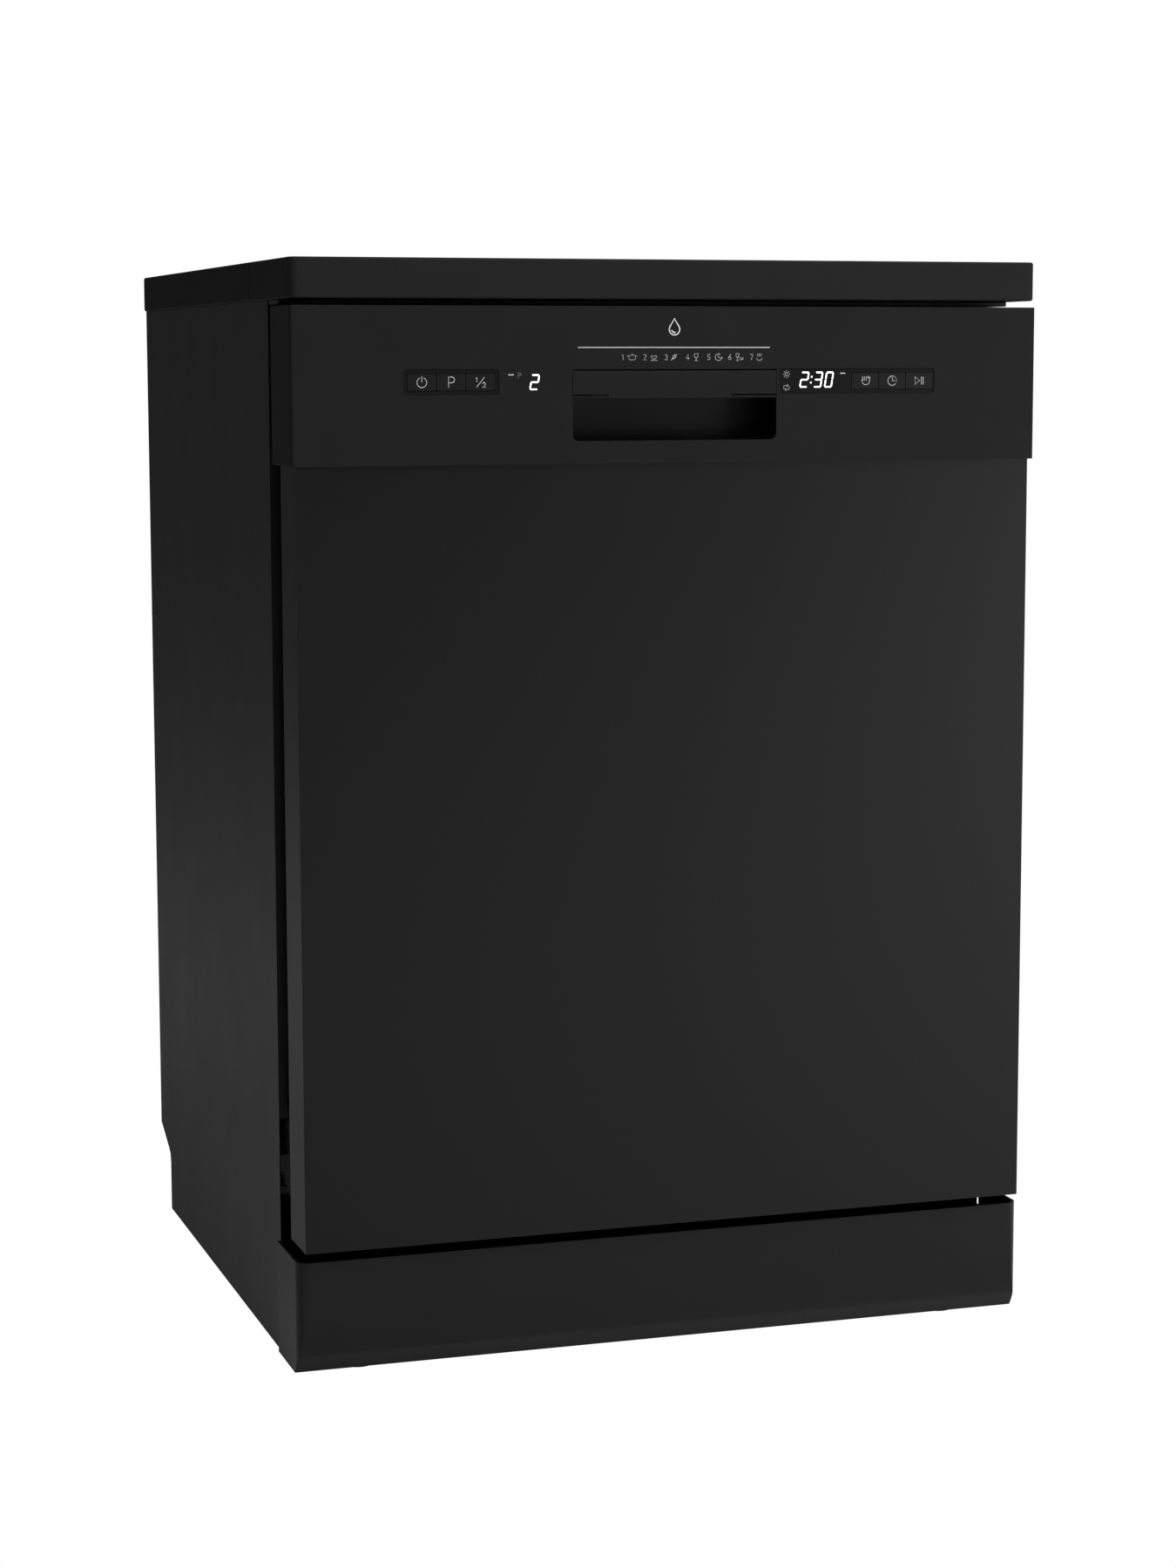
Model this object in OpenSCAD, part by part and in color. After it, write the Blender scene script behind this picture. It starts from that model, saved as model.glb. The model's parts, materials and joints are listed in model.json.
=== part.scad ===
// Freestanding 60 cm dishwasher with a drop-down door, two baskets and two spray arms.
// Millimetres. +X is to the right seen from the front, the front faces -Y, +Z is up.
// The origin is on the floor, under the middle of the cabinet.

/* [Cabinet] */
// Height from the floor to the top of the worktop
overall_h = 850; // [800:1:1020]
// Width of the worktop and of the control panel
body_w = 598; // [560:1:720]
// Depth of the worktop, front to back
overall_d = 600; // [560:1:720]
// Thickness of the worktop
worktop_t = 30; // [20:1:38]
// Radius of the worktop's upright corners
worktop_corner_r = 7; // [4:0.5:8]
// Width of the worktop's edge trims
trim_w = 14; // [9:1:20]
// Gap between the worktop and the top of the door
worktop_gap = 5; // [3:0.5:8]
// Overhang of the worktop past each side panel
worktop_overhang = 2; // [1:0.5:4]
// Thickness of the cabinet's sheet steel
sheet_t = 0.7; // [0.5:0.1:1]
// Distance of the side panels' front edge behind the front face
side_setback = 83; // [75:1:95]
// Width of the fold along each side panel's front edge
side_fold = 6; // [4:0.5:7]
// Height of the recess for pipes at the bottom of the back
notch_h = 75; // [65:1:90]
// Depth of the recess for pipes
notch_d = 45; // [35:1:55]
// Drop of the recess's slanted top
notch_slope = 21; // [15:1:30]

/* [Base] */
// Height of the base tray's underside above the floor
base_lift = 12; // [10:1:16]
// Height of the base tray's rim above the floor
base_rim = 75; // [68:1:76]
// Wall thickness of the moulded base tray
base_wall = 3; // [2.5:0.5:4]
// Distance of the feet from the middle of the cabinet
foot_x = 245; // [220:1:255]
// Radius of a foot's pad
foot_r = 14; // [12:0.5:15]
// Radius of a foot's screw
foot_screw_r = 5; // [4:0.5:6]
// Distance that the kick plate stands out past each end of the worktop
kick_overhang = 1; // [0:0.5:3]
// Height of the kick plate
kick_h = 89; // [80:1:92]
// Gap between the kick plate and the floor
kick_lift = 4; // [3:0.5:5]
// Thickness of the kick plate
kick_t = 2.5; // [2:0.1:2.6]
// Distance that the kick plate's foot leans back
kick_lean = 14; // [10:1:16]

/* [Door] */
// Height of the control panel
console_h = 118; // [110:1:140]
// Depth of the control panel
console_d = 64; // [58:1:68]
// Wall thickness of the control panel
console_wall = 3; // [2:0.5:3.5]
// Gap between the control panel's wall and the door's skin behind it
door_skin_gap = 0; // [0:0.1:0.5]
// Height of the door's bottom edge
door_bottom = 102; // [100:1:108]
// Side clearance between the door and the side panels
door_side_gap = 1.1; // [0.8:0.1:2]
// Thickness of the door's skin
door_skin_t = 0.8; // [0.6:0.1:1]
// Depth of the door's sides
door_return_d = 50; // [46:1:51]
// Height of the door's hinge axis
hinge_z = 182; // [180:1:186]
// Distance of the hinge axis behind the front face
hinge_setback = 68; // [66:1:70]
// Radius of the hinge pins
hinge_pin_r = 5; // [4:0.5:6]
// Running clearance round the hinge pins and axles
pin_clear = 0.05; // [0.02:0.01:0.1]
// Thickness of the hinge plates
hinge_plate_t = 3; // [2:0.5:3]

/* [Tub] */
// Gap between the tub's side walls and the worktop's ends
tub_side_gap = 27; // [26:0.5:40]
// Thickness of the tub's steel
tub_t = 1.2; // [0.8:0.1:1.6]
// Height of the tub's floor
tub_floor = 190; // [188:1:194]
// Gap between the tub's ceiling and the worktop
tub_head = 28; // [26:1:36]
// Gap between the tub's back wall and the back of the cabinet
tub_back_gap = 38; // [30:1:60]
// Radius of the tub's upright corners
tub_corner_r = 24; // [12:1:30]
// Width of the door seal
gasket_w = 10; // [8:0.5:12]

/* [Controls] */
// Height of the control keys' centre line above the control panel's bottom edge
key_rise = 61.4; // [58:0.1:65]
// Height of the control keys
key_h = 12.4; // [10:0.1:14]
// Width of one control key
key_w = 22.1; // [20:0.1:24]
// Gap between neighbouring keys
key_gap = 0.5; // [0.4:0.1:1]
// Travel of the control keys
key_travel = 1; // [0.5:0.1:1.2]
// Place of the left key group's left end
left_keys_x = -210.2; // [-214:0.1:-205]
// Place of the right key group's left end
right_keys_x = 144.4; // [140:0.1:150]
// Width of the door handle's opening
handle_w = 164; // [150:1:180]
// Height of the door handle's opening
handle_h = 53.8; // [48:0.1:58]
// Distance of the handle's opening above the control panel's bottom edge
handle_rise = 16.9; // [14:0.1:20]
// Height of the handle's lever
lever_h = 18.9; // [16:0.1:21]

/* [Baskets] */
// Wire thickness of the baskets
wire_t = 4; // [3:0.5:5]
// Gap between the baskets and the tub's side walls
basket_side_gap = 24; // [23:0.5:28]
// Height of the lower basket's floor above the tub's floor
lower_basket_rise = 60; // [56:1:70]
// Height of the lower basket's sides
lower_basket_h = 145; // [120:1:160]
// Height of the upper basket's floor above the tub's floor
upper_basket_rise = 300; // [290:1:320]
// Height of the upper basket's sides
upper_basket_h = 130; // [110:1:150]
// Radius of the lower basket's wheels
wheel_r = 16; // [14:0.5:18]
// Width of the lower basket's wheels
wheel_w = 8; // [6:0.5:10]
// Radius of the upper basket's rollers
roller_r = 11; // [9:0.5:12]
// Width of the upper basket's rollers
roller_w = 9; // [8:0.5:10]
// Radius of the wheels' and rollers' axles
axle_r = 4; // [3:0.5:5]
// Length of the spray arms
spray_arm_l = 440; // [380:1:450]

/* [Wash system] */
// Radius of the sump's bowl
sump_r = 97; // [85:1:97]
// Depth of the sump's bowl below the tub's floor
sump_depth = 80; // [60:1:85]
// Radius of the filter cup
filter_cup_r = 34; // [28:1:36]
// Radius of the salt filler's neck
salt_neck_r = 24; // [20:1:28]
// Radius of the water inlet's thread
inlet_r = 13.2; // [13:0.1:13.3]
// Radius of the drain hose's spigot
drain_r = 9.5; // [8:0.5:11]
// Radius of the mains cable's gland
gland_r = 4.2; // [3.5:0.1:5]

/* [Hidden] */
$fn = 48;

// Gap left between pieces that move past each other
move_clear = 0.3;
// Cutters reach this far past the face they open
over = 1;

// Cabinet outline
half_w = body_w / 2;
front_y = -overall_d / 2;
back_y = overall_d / 2;
worktop_z = overall_h - worktop_t;
panel_x = half_w - worktop_overhang;
panel_in_x = panel_x - sheet_t;
panel_front_y = front_y + side_setback;
panel_back_y = back_y - 4;
panel_bottom_z = 3;
notch_y = back_y - 4 - notch_d;
seam_front_y = front_y + 140;
seam_rear_y = back_y - 54;

// Door planes, from the outside to the inside
console_top = worktop_z - worktop_gap;
console_bottom = console_top - console_h;
console_back_y = front_y + console_d;
console_in_y = front_y + console_wall;
door_half_w = panel_in_x - door_side_gap;
door_front_y = front_y + console_wall + door_skin_gap;
door_return_y = door_front_y + door_return_d;
door_tuck = 8;
hinge_y = front_y + hinge_setback;
liner_t = 1;
liner_y = door_return_y;
liner_back_y = liner_y + liner_t;
field_y = hinge_y + tub_floor - hinge_z;
field_bottom = hinge_z + 14;
liner_top = console_top - 4;
liner_half_w = door_half_w - door_skin_t - 0.4;
ankle_z = 240;
liner_bottom = 152;

// Tub
tub_half = half_w - tub_side_gap;
tub_in = tub_half - tub_t;
tub_top = worktop_z - tub_head;
tub_back = back_y - tub_back_gap;
tub_front = hinge_y + 4;
flange_w = gasket_w + 2;
flange_out = tub_half + flange_w;
flange_low_out = tub_half + flange_w - 4;
flange_top = tub_top + flange_w + 1;
flange_foot_z = tub_floor - 12;
post_foot_z = tub_floor + 15;
post_t = 4;
top_plate_t = worktop_gap - 1.5;
field_half = tub_in - 9;
field_top = tub_top - 3.5;
rail_z = flange_top + 0.5;

// Base
kick_w = body_w + 2 * kick_overhang;
base_front_y = front_y + 32;
base_back_y = notch_y - sheet_t;
base_out = panel_in_x;
upright_front_y = hinge_y + 92;
ledge_z = tub_floor - tub_t;
ledge_t = 4;
foot_front_y = base_front_y + 16;
foot_rear_y = base_back_y - 34;
foot_pad_h = 6;

// Hinges
pivot_r = 12;
bracket_x = flange_out + 1;
bracket_out = bracket_x + hinge_plate_t;
arm_x = bracket_x - move_clear - hinge_plate_t;
arm_edge_y = liner_y - 28;
spring_r = 7;
spring_x = bracket_x - 12;
spring_z = 112;
spring_front_y = upright_front_y + 34;
spring_back_y = 120;

// Handle and latch
handle_half = handle_w / 2;
handle_bottom = console_bottom + handle_rise;
handle_top = handle_bottom + handle_h;
lever_half = handle_half - move_clear;
lever_top = handle_top - 0.5;
lever_bottom = handle_top - lever_h;
lever_axis_y = front_y + 5;
lever_axis_z = handle_top - 3;
lever_pin_r = 1.5;
lever_t = 2.5;
lever_edge = 1.5;
lip_x0 = -54;
lip_x1 = 46;
lip_drop = 2.8;
finger_y = lever_axis_y;
finger_t = 2;
finger_top = console_top - 9;
hook_axis_y = front_y + 17;
hook_pin_r = 2;
hook_hub_r = 4.5;
hook_half = 5;
nose_y0 = front_y + 43;
nose_y1 = front_y + 48;
tongue_z = rail_z + 0.5;
hook_axis_z = tongue_z - 21;
tongue_t = 2;
tongue_front_y = front_y + 38;

// Control keys
key_z = console_bottom + key_rise;
key_front_y = front_y + 0.2;
key_back_y = front_y + 8;
key_pitch = key_w + key_gap;
frame_face_y = front_y + 0.6;
frame_rim = 3.4;
left_frame_x0 = left_keys_x - 3.1;
left_frame_x1 = left_keys_x + 3 * key_pitch + 2.8;
right_frame_x0 = handle_half + 2.2;
right_frame_x1 = right_keys_x + 3 * key_pitch + 1.2;
frame_z0 = key_z - key_h / 2 - frame_rim;
frame_z1 = key_z + key_h / 2 + frame_rim;
window_flange = 2;
board_y = front_y + 12;
board_t = 1.6;

// Dispenser on the door's inner side
disp_x0 = -70;
disp_x1 = 80;
disp_z0 = 405;
disp_z1 = 540;
disp_depth = 30;
disp_wall = 2.5;
disp_proud = 5;
tray_x0 = -60;
tray_x1 = 10;
tray_z0 = 470;
tray_z1 = 532;
cap_x = 48;
cap_z = 500;
rinse_r = 19;
rinse_neck_r = 14;

// Baskets
basket_half = tub_in - basket_side_gap;
basket_front = field_y + 20;
basket_back = tub_back - tub_t - 18;
lower_floor = tub_floor + lower_basket_rise;
upper_floor = tub_floor + upper_basket_rise;
wheel_front_y = basket_front + 84;
wheel_rear_y = basket_back - 50;
wheel_x0 = basket_half - 14;
wheel_z = tub_floor + wheel_r;
fork_t = 3;
roller_front_y = field_y + 26;
roller_rear_y = roller_front_y + 44;
roller_z = upper_floor + upper_basket_h - 22;
roller_x0 = tub_in - 16;
mount_t = 3;
rail_in = roller_x0 - 3.2;
rail_t = 1.2;
rail_gap = 0.3;
rail_front_y = field_y + 6;
rail_back_y = tub_back - tub_t - tub_corner_r / 2.4;
shelf_x = basket_half - wire_t - 9;
shelf_z = upper_floor + upper_basket_h - 46;
shelf_rod_r = 4;
grid_cell = 40;
tine_pitch = 32;
tine_h = 70;
upper_tine_h = 49;
tine_rows = [-150, -95, -40, 15, 70, 125, 180];
upper_tine_rows = [-120, -50, 20, 90, 160];
// keeps the flat panels of a basket, tray or folded sheet apart, so that each is a simple solid
weld_gap = 0.2;
cutlery_w = 80;
cutlery_l = 240;
cutlery_h = 108;
cutlery_wall = 3;

// Wash system
arm_cx = 0;
arm_cy = 20;
sump_cx = 30;
sump_cy = -10;
sump_wall = 3;
sump_flange = 16;
sump_bottom = ledge_z - sump_depth;
filter_z = ledge_z - 9;
filter_t = 2;
cup_x = 62;
cup_y = -42;
tower_r = 14;
tower_top = tub_floor + 30;
arm_w = 46;
arm_t = 12;
arm_hub_r = 22;
lower_arm_z = tower_top + 1;
arm_pin_r = 8;
upper_arm_z = upper_floor - 31;
dock_z = upper_floor - 10;
clip_half = 0.6 * grid_cell + wire_t;
pump_r = 46;
motor_r = 38;
pump_z = sump_bottom + 22;
salt_x = -170;
salt_y = 130;
softener_w = 110;
softener_d = 120;
softener_h = 84;
tube_w = 34;
tube_d = 13;
inlet_x = 35 - foot_x;
drain_x = -140;
gland_x = foot_x - 30;
port_z = notch_h - notch_slope - 21;

// A block between two corners
module block(x0, x1, y0, y1, z0, z1) {
    translate([x0, y0, z0]) cube([x1 - x0, y1 - y0, z1 - z0]);
}

// A flat rectangle between two corners
module block_2d(x0, x1, y0, y1) {
    translate([x0, y0]) square([x1 - x0, y1 - y0]);
}

// A flat rectangle with round corners
module round_rect(x0, x1, y0, y1, r) {
    translate([x0 + r, y0]) square([x1 - x0 - 2 * r, y1 - y0]);
    translate([x0, y0 + r]) square([x1 - x0, y1 - y0 - 2 * r]);
    for (x = [x0 + r, x1 - r], y = [y0 + r, y1 - r]) translate([x, y]) circle(r);
}

// A flat shape drawn in X and Z, stood up between y0 and y1
module upright(y0, y1) {
    translate([0, y1, 0]) rotate([90, 0, 0]) linear_extrude(y1 - y0) children();
}

// A flat shape drawn in Y and Z, extruded between x0 and x1
module sideways(x0, x1) {
    translate([x0, 0, 0]) rotate([90, 0, 90]) linear_extrude(x1 - x0) children();
}

// A round bar along X
module bar_x(x0, x1, y, z, r) {
    translate([x0, y, z]) rotate([0, 90, 0]) cylinder(h = x1 - x0, r = r);
}

// A round bar along Y
module bar_y(y0, y1, x, z, r) {
    translate([x, y1, z]) rotate([90, 0, 0]) cylinder(h = y1 - y0, r = r);
}

// A round bar along Z
module bar_z(z0, z1, x, y, r) {
    translate([x, y, z0]) cylinder(h = z1 - z0, r = r);
}

// The same piece on the right and on the left
module both_sides() {
    children();
    mirror([1, 0, 0]) children();
}

// A flat wire mesh: a rectangle with rows of windows
module mesh_sheet(x0, x1, y0, y1, wire, cell) {
    nx = max(1, round((x1 - x0) / cell));
    ny = max(1, round((y1 - y0) / cell));
    px = (x1 - x0 - wire) / nx;
    py = (y1 - y0 - wire) / ny;
    difference() {
        translate([x0, y0]) square([x1 - x0, y1 - y0]);
        for (i = [0 : nx - 1], j = [0 : ny - 1])
            translate([x0 + wire + i * px, y0 + wire + j * py])
                square([px - wire, py - wire]);
    }
}

// ---- Worktop ----

// Outline of the worktop with round corners
module worktop_outline() {
    round_rect(-half_w, half_w, front_y, back_y, worktop_corner_r);
}

// Chipboard core inside the trims
module worktop_board() {
    color([0.03, 0.03, 0.035])
        block(-half_w + trim_w, half_w - trim_w, front_y + trim_w, back_y - trim_w,
            worktop_z, overall_h);
}

// Ring round the core, from which the trims are cut
module worktop_ring() {
    difference() {
        translate([0, 0, worktop_z]) linear_extrude(worktop_t) worktop_outline();
        block(-half_w + trim_w, half_w - trim_w, front_y + trim_w, back_y - trim_w,
            worktop_z - over, overall_h + over);
    }
}

// Moulded front edge that turns both front corners
module worktop_front_trim() {
    color([0.05, 0.05, 0.055]) intersection() {
        worktop_ring();
        block(-half_w, half_w, front_y, seam_front_y, worktop_z, overall_h);
    }
}

// Side strips and the rear edge
module worktop_edge_trims() {
    color([0.05, 0.05, 0.055]) intersection() {
        worktop_ring();
        union() {
            for (x = [-half_w, half_w - trim_w])
                block(x, x + trim_w, seam_front_y, seam_rear_y, worktop_z, overall_h);
            block(-half_w, half_w, seam_rear_y, back_y, worktop_z, overall_h);
        }
    }
}

// ---- Cabinet ----

// Outline of a side panel, with the recess for pipes
module side_outline() {
    r = 8;
    polygon([[panel_front_y, panel_bottom_z], [panel_front_y, worktop_z],
        [panel_back_y, worktop_z], [panel_back_y, notch_h],
        [notch_y + r, notch_h - notch_slope + r / 2], [notch_y + r / 4, notch_h - notch_slope],
        [notch_y, notch_h - notch_slope - r], [notch_y, panel_bottom_z]]);
}

// Painted steel side with a fold along its front edge
module side_panel() {
    sideways(panel_in_x, panel_x) side_outline();
    block(panel_x - sheet_t - side_fold, panel_in_x, panel_front_y,
        panel_front_y + sheet_t, post_foot_z - 15, worktop_z - top_plate_t);
}

module left_side_panel() {
    color([0.1, 0.1, 0.105]) mirror([1, 0, 0]) side_panel();
}

module right_side_panel() {
    color([0.1, 0.1, 0.105]) side_panel();
}

// Back sheet, folded forwards over the recess for pipes
module rear_panel() {
    t = sheet_t;
    g = weld_gap;
    knee = notch_h - notch_slope;
    color([0.45, 0.46, 0.47]) difference() {
        // upper sheet, slope and skirt, parted at the folds
        sideways(-panel_in_x, panel_in_x) {
            block_2d(panel_back_y - t, panel_back_y, notch_h + g, worktop_z);
            polygon([[panel_back_y, notch_h], [panel_back_y - t, notch_h],
                [notch_y - t, knee], [notch_y, knee]]);
            block_2d(notch_y - t, notch_y, base_lift, knee - g);
        }
        bar_y(notch_y - 2, notch_y + 2, inlet_x, port_z, inlet_r + 1);
        bar_y(notch_y - 2, notch_y + 2, drain_x, port_z, drain_r + 1);
        bar_y(notch_y - 2, notch_y + 2, gland_x, port_z, gland_r + 5);
    }
}

// Black steel posts beside the tub's mouth and the cross rail over it
module front_frame() {
    fold_y = panel_front_y + sheet_t;
    front_lip_y = front_y + 48;
    color([0.06, 0.06, 0.06]) {
        both_sides() {
            block(flange_out, flange_out + post_t, tub_front, fold_y + 22,
                post_foot_z, rail_z);
            block(flange_out + post_t, panel_in_x, fold_y, fold_y + 2, post_foot_z, rail_z);
        }
        block(-panel_in_x, panel_in_x, fold_y, fold_y + 22, rail_z, worktop_z - top_plate_t);
        block(-panel_in_x, panel_in_x, front_lip_y, fold_y + 22,
            worktop_z - top_plate_t, worktop_z);
    }
}

// Tray in flat panels, with side walls and ledges that carry the tub
module base_tray() {
    w = base_wall;
    g = weld_gap;
    boss_r = foot_screw_r + 6;
    floor_top = base_lift + w;
    side_x = base_out - w;
    front_in = base_front_y + w + g;
    back_in = base_back_y - w - g;
    under_ledge = ledge_z - ledge_t - g;
    color([0.12, 0.12, 0.125]) difference() {
        union() {
            block(-base_out, base_out, base_front_y, base_back_y, base_lift, floor_top);
            block(-base_out, base_out, base_front_y, base_front_y + w, floor_top + g, base_rim);
            block(-base_out, base_out, base_back_y - w, base_back_y, floor_top + g, under_ledge);
            both_sides() {
                block(side_x, base_out, front_in, back_in, floor_top + g, base_rim);
                block(side_x, base_out, upright_front_y, back_in, base_rim + g, under_ledge);
                block(tub_half - 12, base_out, upright_front_y, base_back_y,
                    ledge_z - ledge_t, ledge_z);
                for (y = [foot_front_y, foot_rear_y])
                    bar_z(floor_top + g, base_lift + 40, foot_x, y, boss_r);
            }
            // plinth under the wash pump and the water softener
            block(-210, sump_cx - sump_r - 16, -60, 190, floor_top + g, floor_top + 8);
        }
        for (x = [-foot_x, foot_x])
            bar_z(base_lift - over, base_lift + 40 + over, x, foot_front_y,
                foot_screw_r + pin_clear);
        // ports at the back
        bar_y(base_back_y - w - over, base_back_y + over, inlet_x, port_z, inlet_r + 1);
        bar_y(base_back_y - w - over, base_back_y + over, drain_x, port_z, drain_r + 1);
        bar_y(base_back_y - w - over, base_back_y + over, gland_x, port_z, gland_r + 5);
    }
}

// Solid under the kick plate's face, drawn in from it by a wall
module kick_solid(inset) {
    half = kick_w / 2 - inset;
    y0 = front_y + 10 + inset;
    y1 = panel_front_y - 1 + inset;
    z0 = kick_lift - inset;
    top = kick_lift + kick_h + inset;
    r = 10 - inset;
    intersection() {
        sideways(-half, half)
            polygon([[y0, top], [y0, kick_lift + kick_h * 0.45],
                [y0 + kick_lean * 0.3, kick_lift + kick_h * 0.18], [y0 + kick_lean, kick_lift],
                [y0 + kick_lean, z0], [y1, z0], [y1, top]]);
        translate([0, 0, z0]) linear_extrude(top - z0)
            round_rect(-half, half, y0, y1 + r, r);
    }
}

// Kick plate with round front corners, side returns and two screw lugs
module kick_plate() {
    lug_z0 = base_lift + 8;
    color([0.1, 0.1, 0.105]) {
        difference() {
            kick_solid(0);
            kick_solid(kick_t);
        }
        for (x = [-170, 150])
            block(x, x + 20, front_y + 10 + kick_lean * 0.3 + kick_t, base_front_y,
                lug_z0, lug_z0 + 20);
    }
}

// Levelling foot: a hexagon pad on a screw
module foot(x, y) {
    translate([x, y, 0]) {
        cylinder(h = 3, r = foot_r);
        translate([0, 0, 3]) cylinder(h = foot_pad_h - 3, r = foot_r - 2, $fn = 6);
        translate([0, 0, foot_pad_h]) cylinder(h = base_lift + 30 - foot_pad_h, r = foot_screw_r);
    }
}

module front_left_foot() {
    color([0.05, 0.05, 0.05]) foot(-foot_x, foot_front_y);
}

module front_right_foot() {
    color([0.05, 0.05, 0.05]) foot(foot_x, foot_front_y);
}

// Fixed glides under the back of the tray
module rear_feet() {
    color([0.05, 0.05, 0.05]) for (x = [-foot_x, foot_x])
        bar_z(0, base_lift, x, foot_rear_y, foot_r);
}

// ---- Tub ----

// Plan of the tub: round corners at the back, square at the mouth
module tub_plan(inset) {
    r = tub_corner_r - inset;
    half = tub_half - inset;
    intersection() {
        round_rect(-half, half, tub_front - 3 * r, tub_back - inset, r);
        translate([-half, tub_front - over]) square([2 * half, tub_back - tub_front + 2]);
    }
}

// Stainless steel tub with a flange round its mouth and embossed runners on its floor
module tub() {
    color([0.72, 0.73, 0.74]) difference() {
        union() {
            difference() {
                translate([0, 0, ledge_z]) linear_extrude(tub_top - ledge_z) tub_plan(0);
                translate([0, 0, tub_floor]) linear_extrude(tub_top - tub_t - tub_floor)
                    tub_plan(tub_t);
                block(-tub_half - over, tub_half + over, tub_front - 2 * over, tub_front,
                    ledge_z - over, tub_top + over);
            }
            upright(tub_front, tub_front + tub_t) difference() {
                union() {
                    round_rect(-flange_out, flange_out, post_foot_z, flange_top, 6);
                    block_2d(-flange_low_out, flange_low_out, flange_foot_z, flange_top - 20);
                }
                block_2d(-tub_in, tub_in, tub_floor, tub_top - tub_t);
            }
        }
        bar_z(ledge_z - over, tub_floor + over, sump_cx, sump_cy, sump_r);
        bar_z(ledge_z - over, tub_floor + over, salt_x, salt_y, salt_neck_r + 0.2);
        upright(tub_back - 3 * tub_t, tub_back + over)
            block_2d(-tube_w / 4, tube_w / 4, tub_floor + 14, tub_floor + 34);
    }
}

// Rubber seal up both sides of the mouth and over its top
module tub_gasket() {
    y0 = liner_back_y + move_clear;
    x0 = tub_half;
    x1 = x0 + gasket_w;
    z1 = tub_top + gasket_w + 1;
    color([0.08, 0.08, 0.08]) {
        upright(y0, tub_front) difference() {
            round_rect(-x1, x1, post_foot_z, z1, 6);
            block_2d(-x0, x0, post_foot_z - over, z1 - gasket_w);
        }
    }
}

// ---- Wash system under and in the tub ----

// Sump bowl hung under the tub's floor, with the lower spray arm's feed tower
module sump() {
    ro = sump_r + sump_wall;
    color([0.2, 0.2, 0.21]) difference() {
        union() {
            bar_z(ledge_z - 4, ledge_z, sump_cx, sump_cy, sump_r + sump_flange);
            bar_z(sump_bottom, ledge_z, sump_cx, sump_cy, ro);
            // outlets to the two pumps
            bar_x(sump_cx - ro - 6, sump_cx, sump_cy, pump_z, 20);
            bar_x(sump_cx, sump_cx + ro + 6, sump_cy, pump_z, 16);
        }
        difference() {
            bar_z(sump_bottom + sump_wall, ledge_z + over, sump_cx, sump_cy, sump_r);
            // ledge that carries the filter plate
            difference() {
                bar_z(filter_z - 4, filter_z, sump_cx, sump_cy, sump_r + over);
                bar_z(filter_z - 5, filter_z + over, sump_cx, sump_cy, sump_r - 5);
            }
            bar_z(sump_bottom, tower_top, arm_cx, arm_cy, tower_r);
        }
        bar_x(sump_cx - ro - 6 - over, sump_cx - sump_r + 4, sump_cy, pump_z, 15);
        bar_x(sump_cx + sump_r - 4, sump_cx + ro + 6 + over, sump_cy, pump_z, 11);
    }
    color([0.2, 0.2, 0.21]) difference() {
        bar_z(ledge_z, tower_top, arm_cx, arm_cy, tower_r);
        bar_z(ledge_z - over, tower_top - 4, arm_cx, arm_cy, tower_r - 4);
    }
    // pin that carries the lower spray arm
    color([0.2, 0.2, 0.21])
        bar_z(tower_top, lower_arm_z + arm_t + 3, arm_cx, arm_cy, arm_pin_r);
}

// Perforated steel plate over the sump
module filter_plate() {
    hole = 3;
    ring = [46, 58, 70, 82];
    color([0.62, 0.63, 0.64]) difference() {
        bar_z(filter_z, filter_z + filter_t, sump_cx, sump_cy, sump_r - 0.4);
        bar_z(filter_z - over, filter_z + filter_t + over, arm_cx, arm_cy, tower_r + 1);
        bar_z(filter_z - over, filter_z + filter_t + over, cup_x, cup_y,
            filter_cup_r - 4 + pin_clear * 4);
        for (r = ring, i = [0 : 11]) {
            x = sump_cx + r * cos(i * 30 + r);
            y = sump_cy + r * sin(i * 30 + r);
            if (norm([x - arm_cx, y - arm_cy]) > tower_r + 6
                && norm([x - cup_x, y - cup_y]) > filter_cup_r + 6)
                bar_z(filter_z - over, filter_z + filter_t + over, x, y, hole);
        }
    }
}

// Filter cup that twists out of the filter plate
module filter_cup() {
    z0 = sump_bottom + sump_wall + 4;
    top = filter_z + filter_t;
    r = filter_cup_r - 4;
    color([0.35, 0.36, 0.38]) {
        difference() {
            union() {
                bar_z(z0, top, cup_x, cup_y, r);
                bar_z(top, top + 3, cup_x, cup_y, filter_cup_r);
            }
            bar_z(z0 + 2, top + 3 + over, cup_x, cup_y, r - 3);
            for (a = [0 : 45 : 315]) translate([cup_x, cup_y, 0]) rotate(a)
                block(r - 4, r + 1, -4, 4, z0 + 8, top - 14);
        }
        // bridge handle across the cup
        block(cup_x - r + 1, cup_x + r - 1, cup_y - 2, cup_y + 2, top - 6, top + 12);
    }
}

// Wash pump: volute against the sump and a motor on a rubber foot
module wash_pump() {
    x1 = sump_cx - sump_r - sump_wall - 6;
    foot_z = base_lift + base_wall + 8;
    color([0.5, 0.51, 0.52]) {
        bar_x(x1 - 28, x1, sump_cy, pump_z + 8, pump_r);
        bar_x(x1 - 120, x1 - 28, sump_cy, pump_z + 8, motor_r);
        block(x1 - 100, x1 - 60, sump_cy - 14, sump_cy + 14, foot_z, pump_z - motor_r + 14);
    }
}

// Drain pump on the other side of the sump
module drain_pump() {
    x0 = sump_cx + sump_r + sump_wall + 6;
    color([0.3, 0.31, 0.33]) {
        bar_x(x0, x0 + 22, sump_cy, pump_z, 26);
        bar_x(x0 + 22, x0 + 64, sump_cy, pump_z, 21);
    }
}

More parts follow.
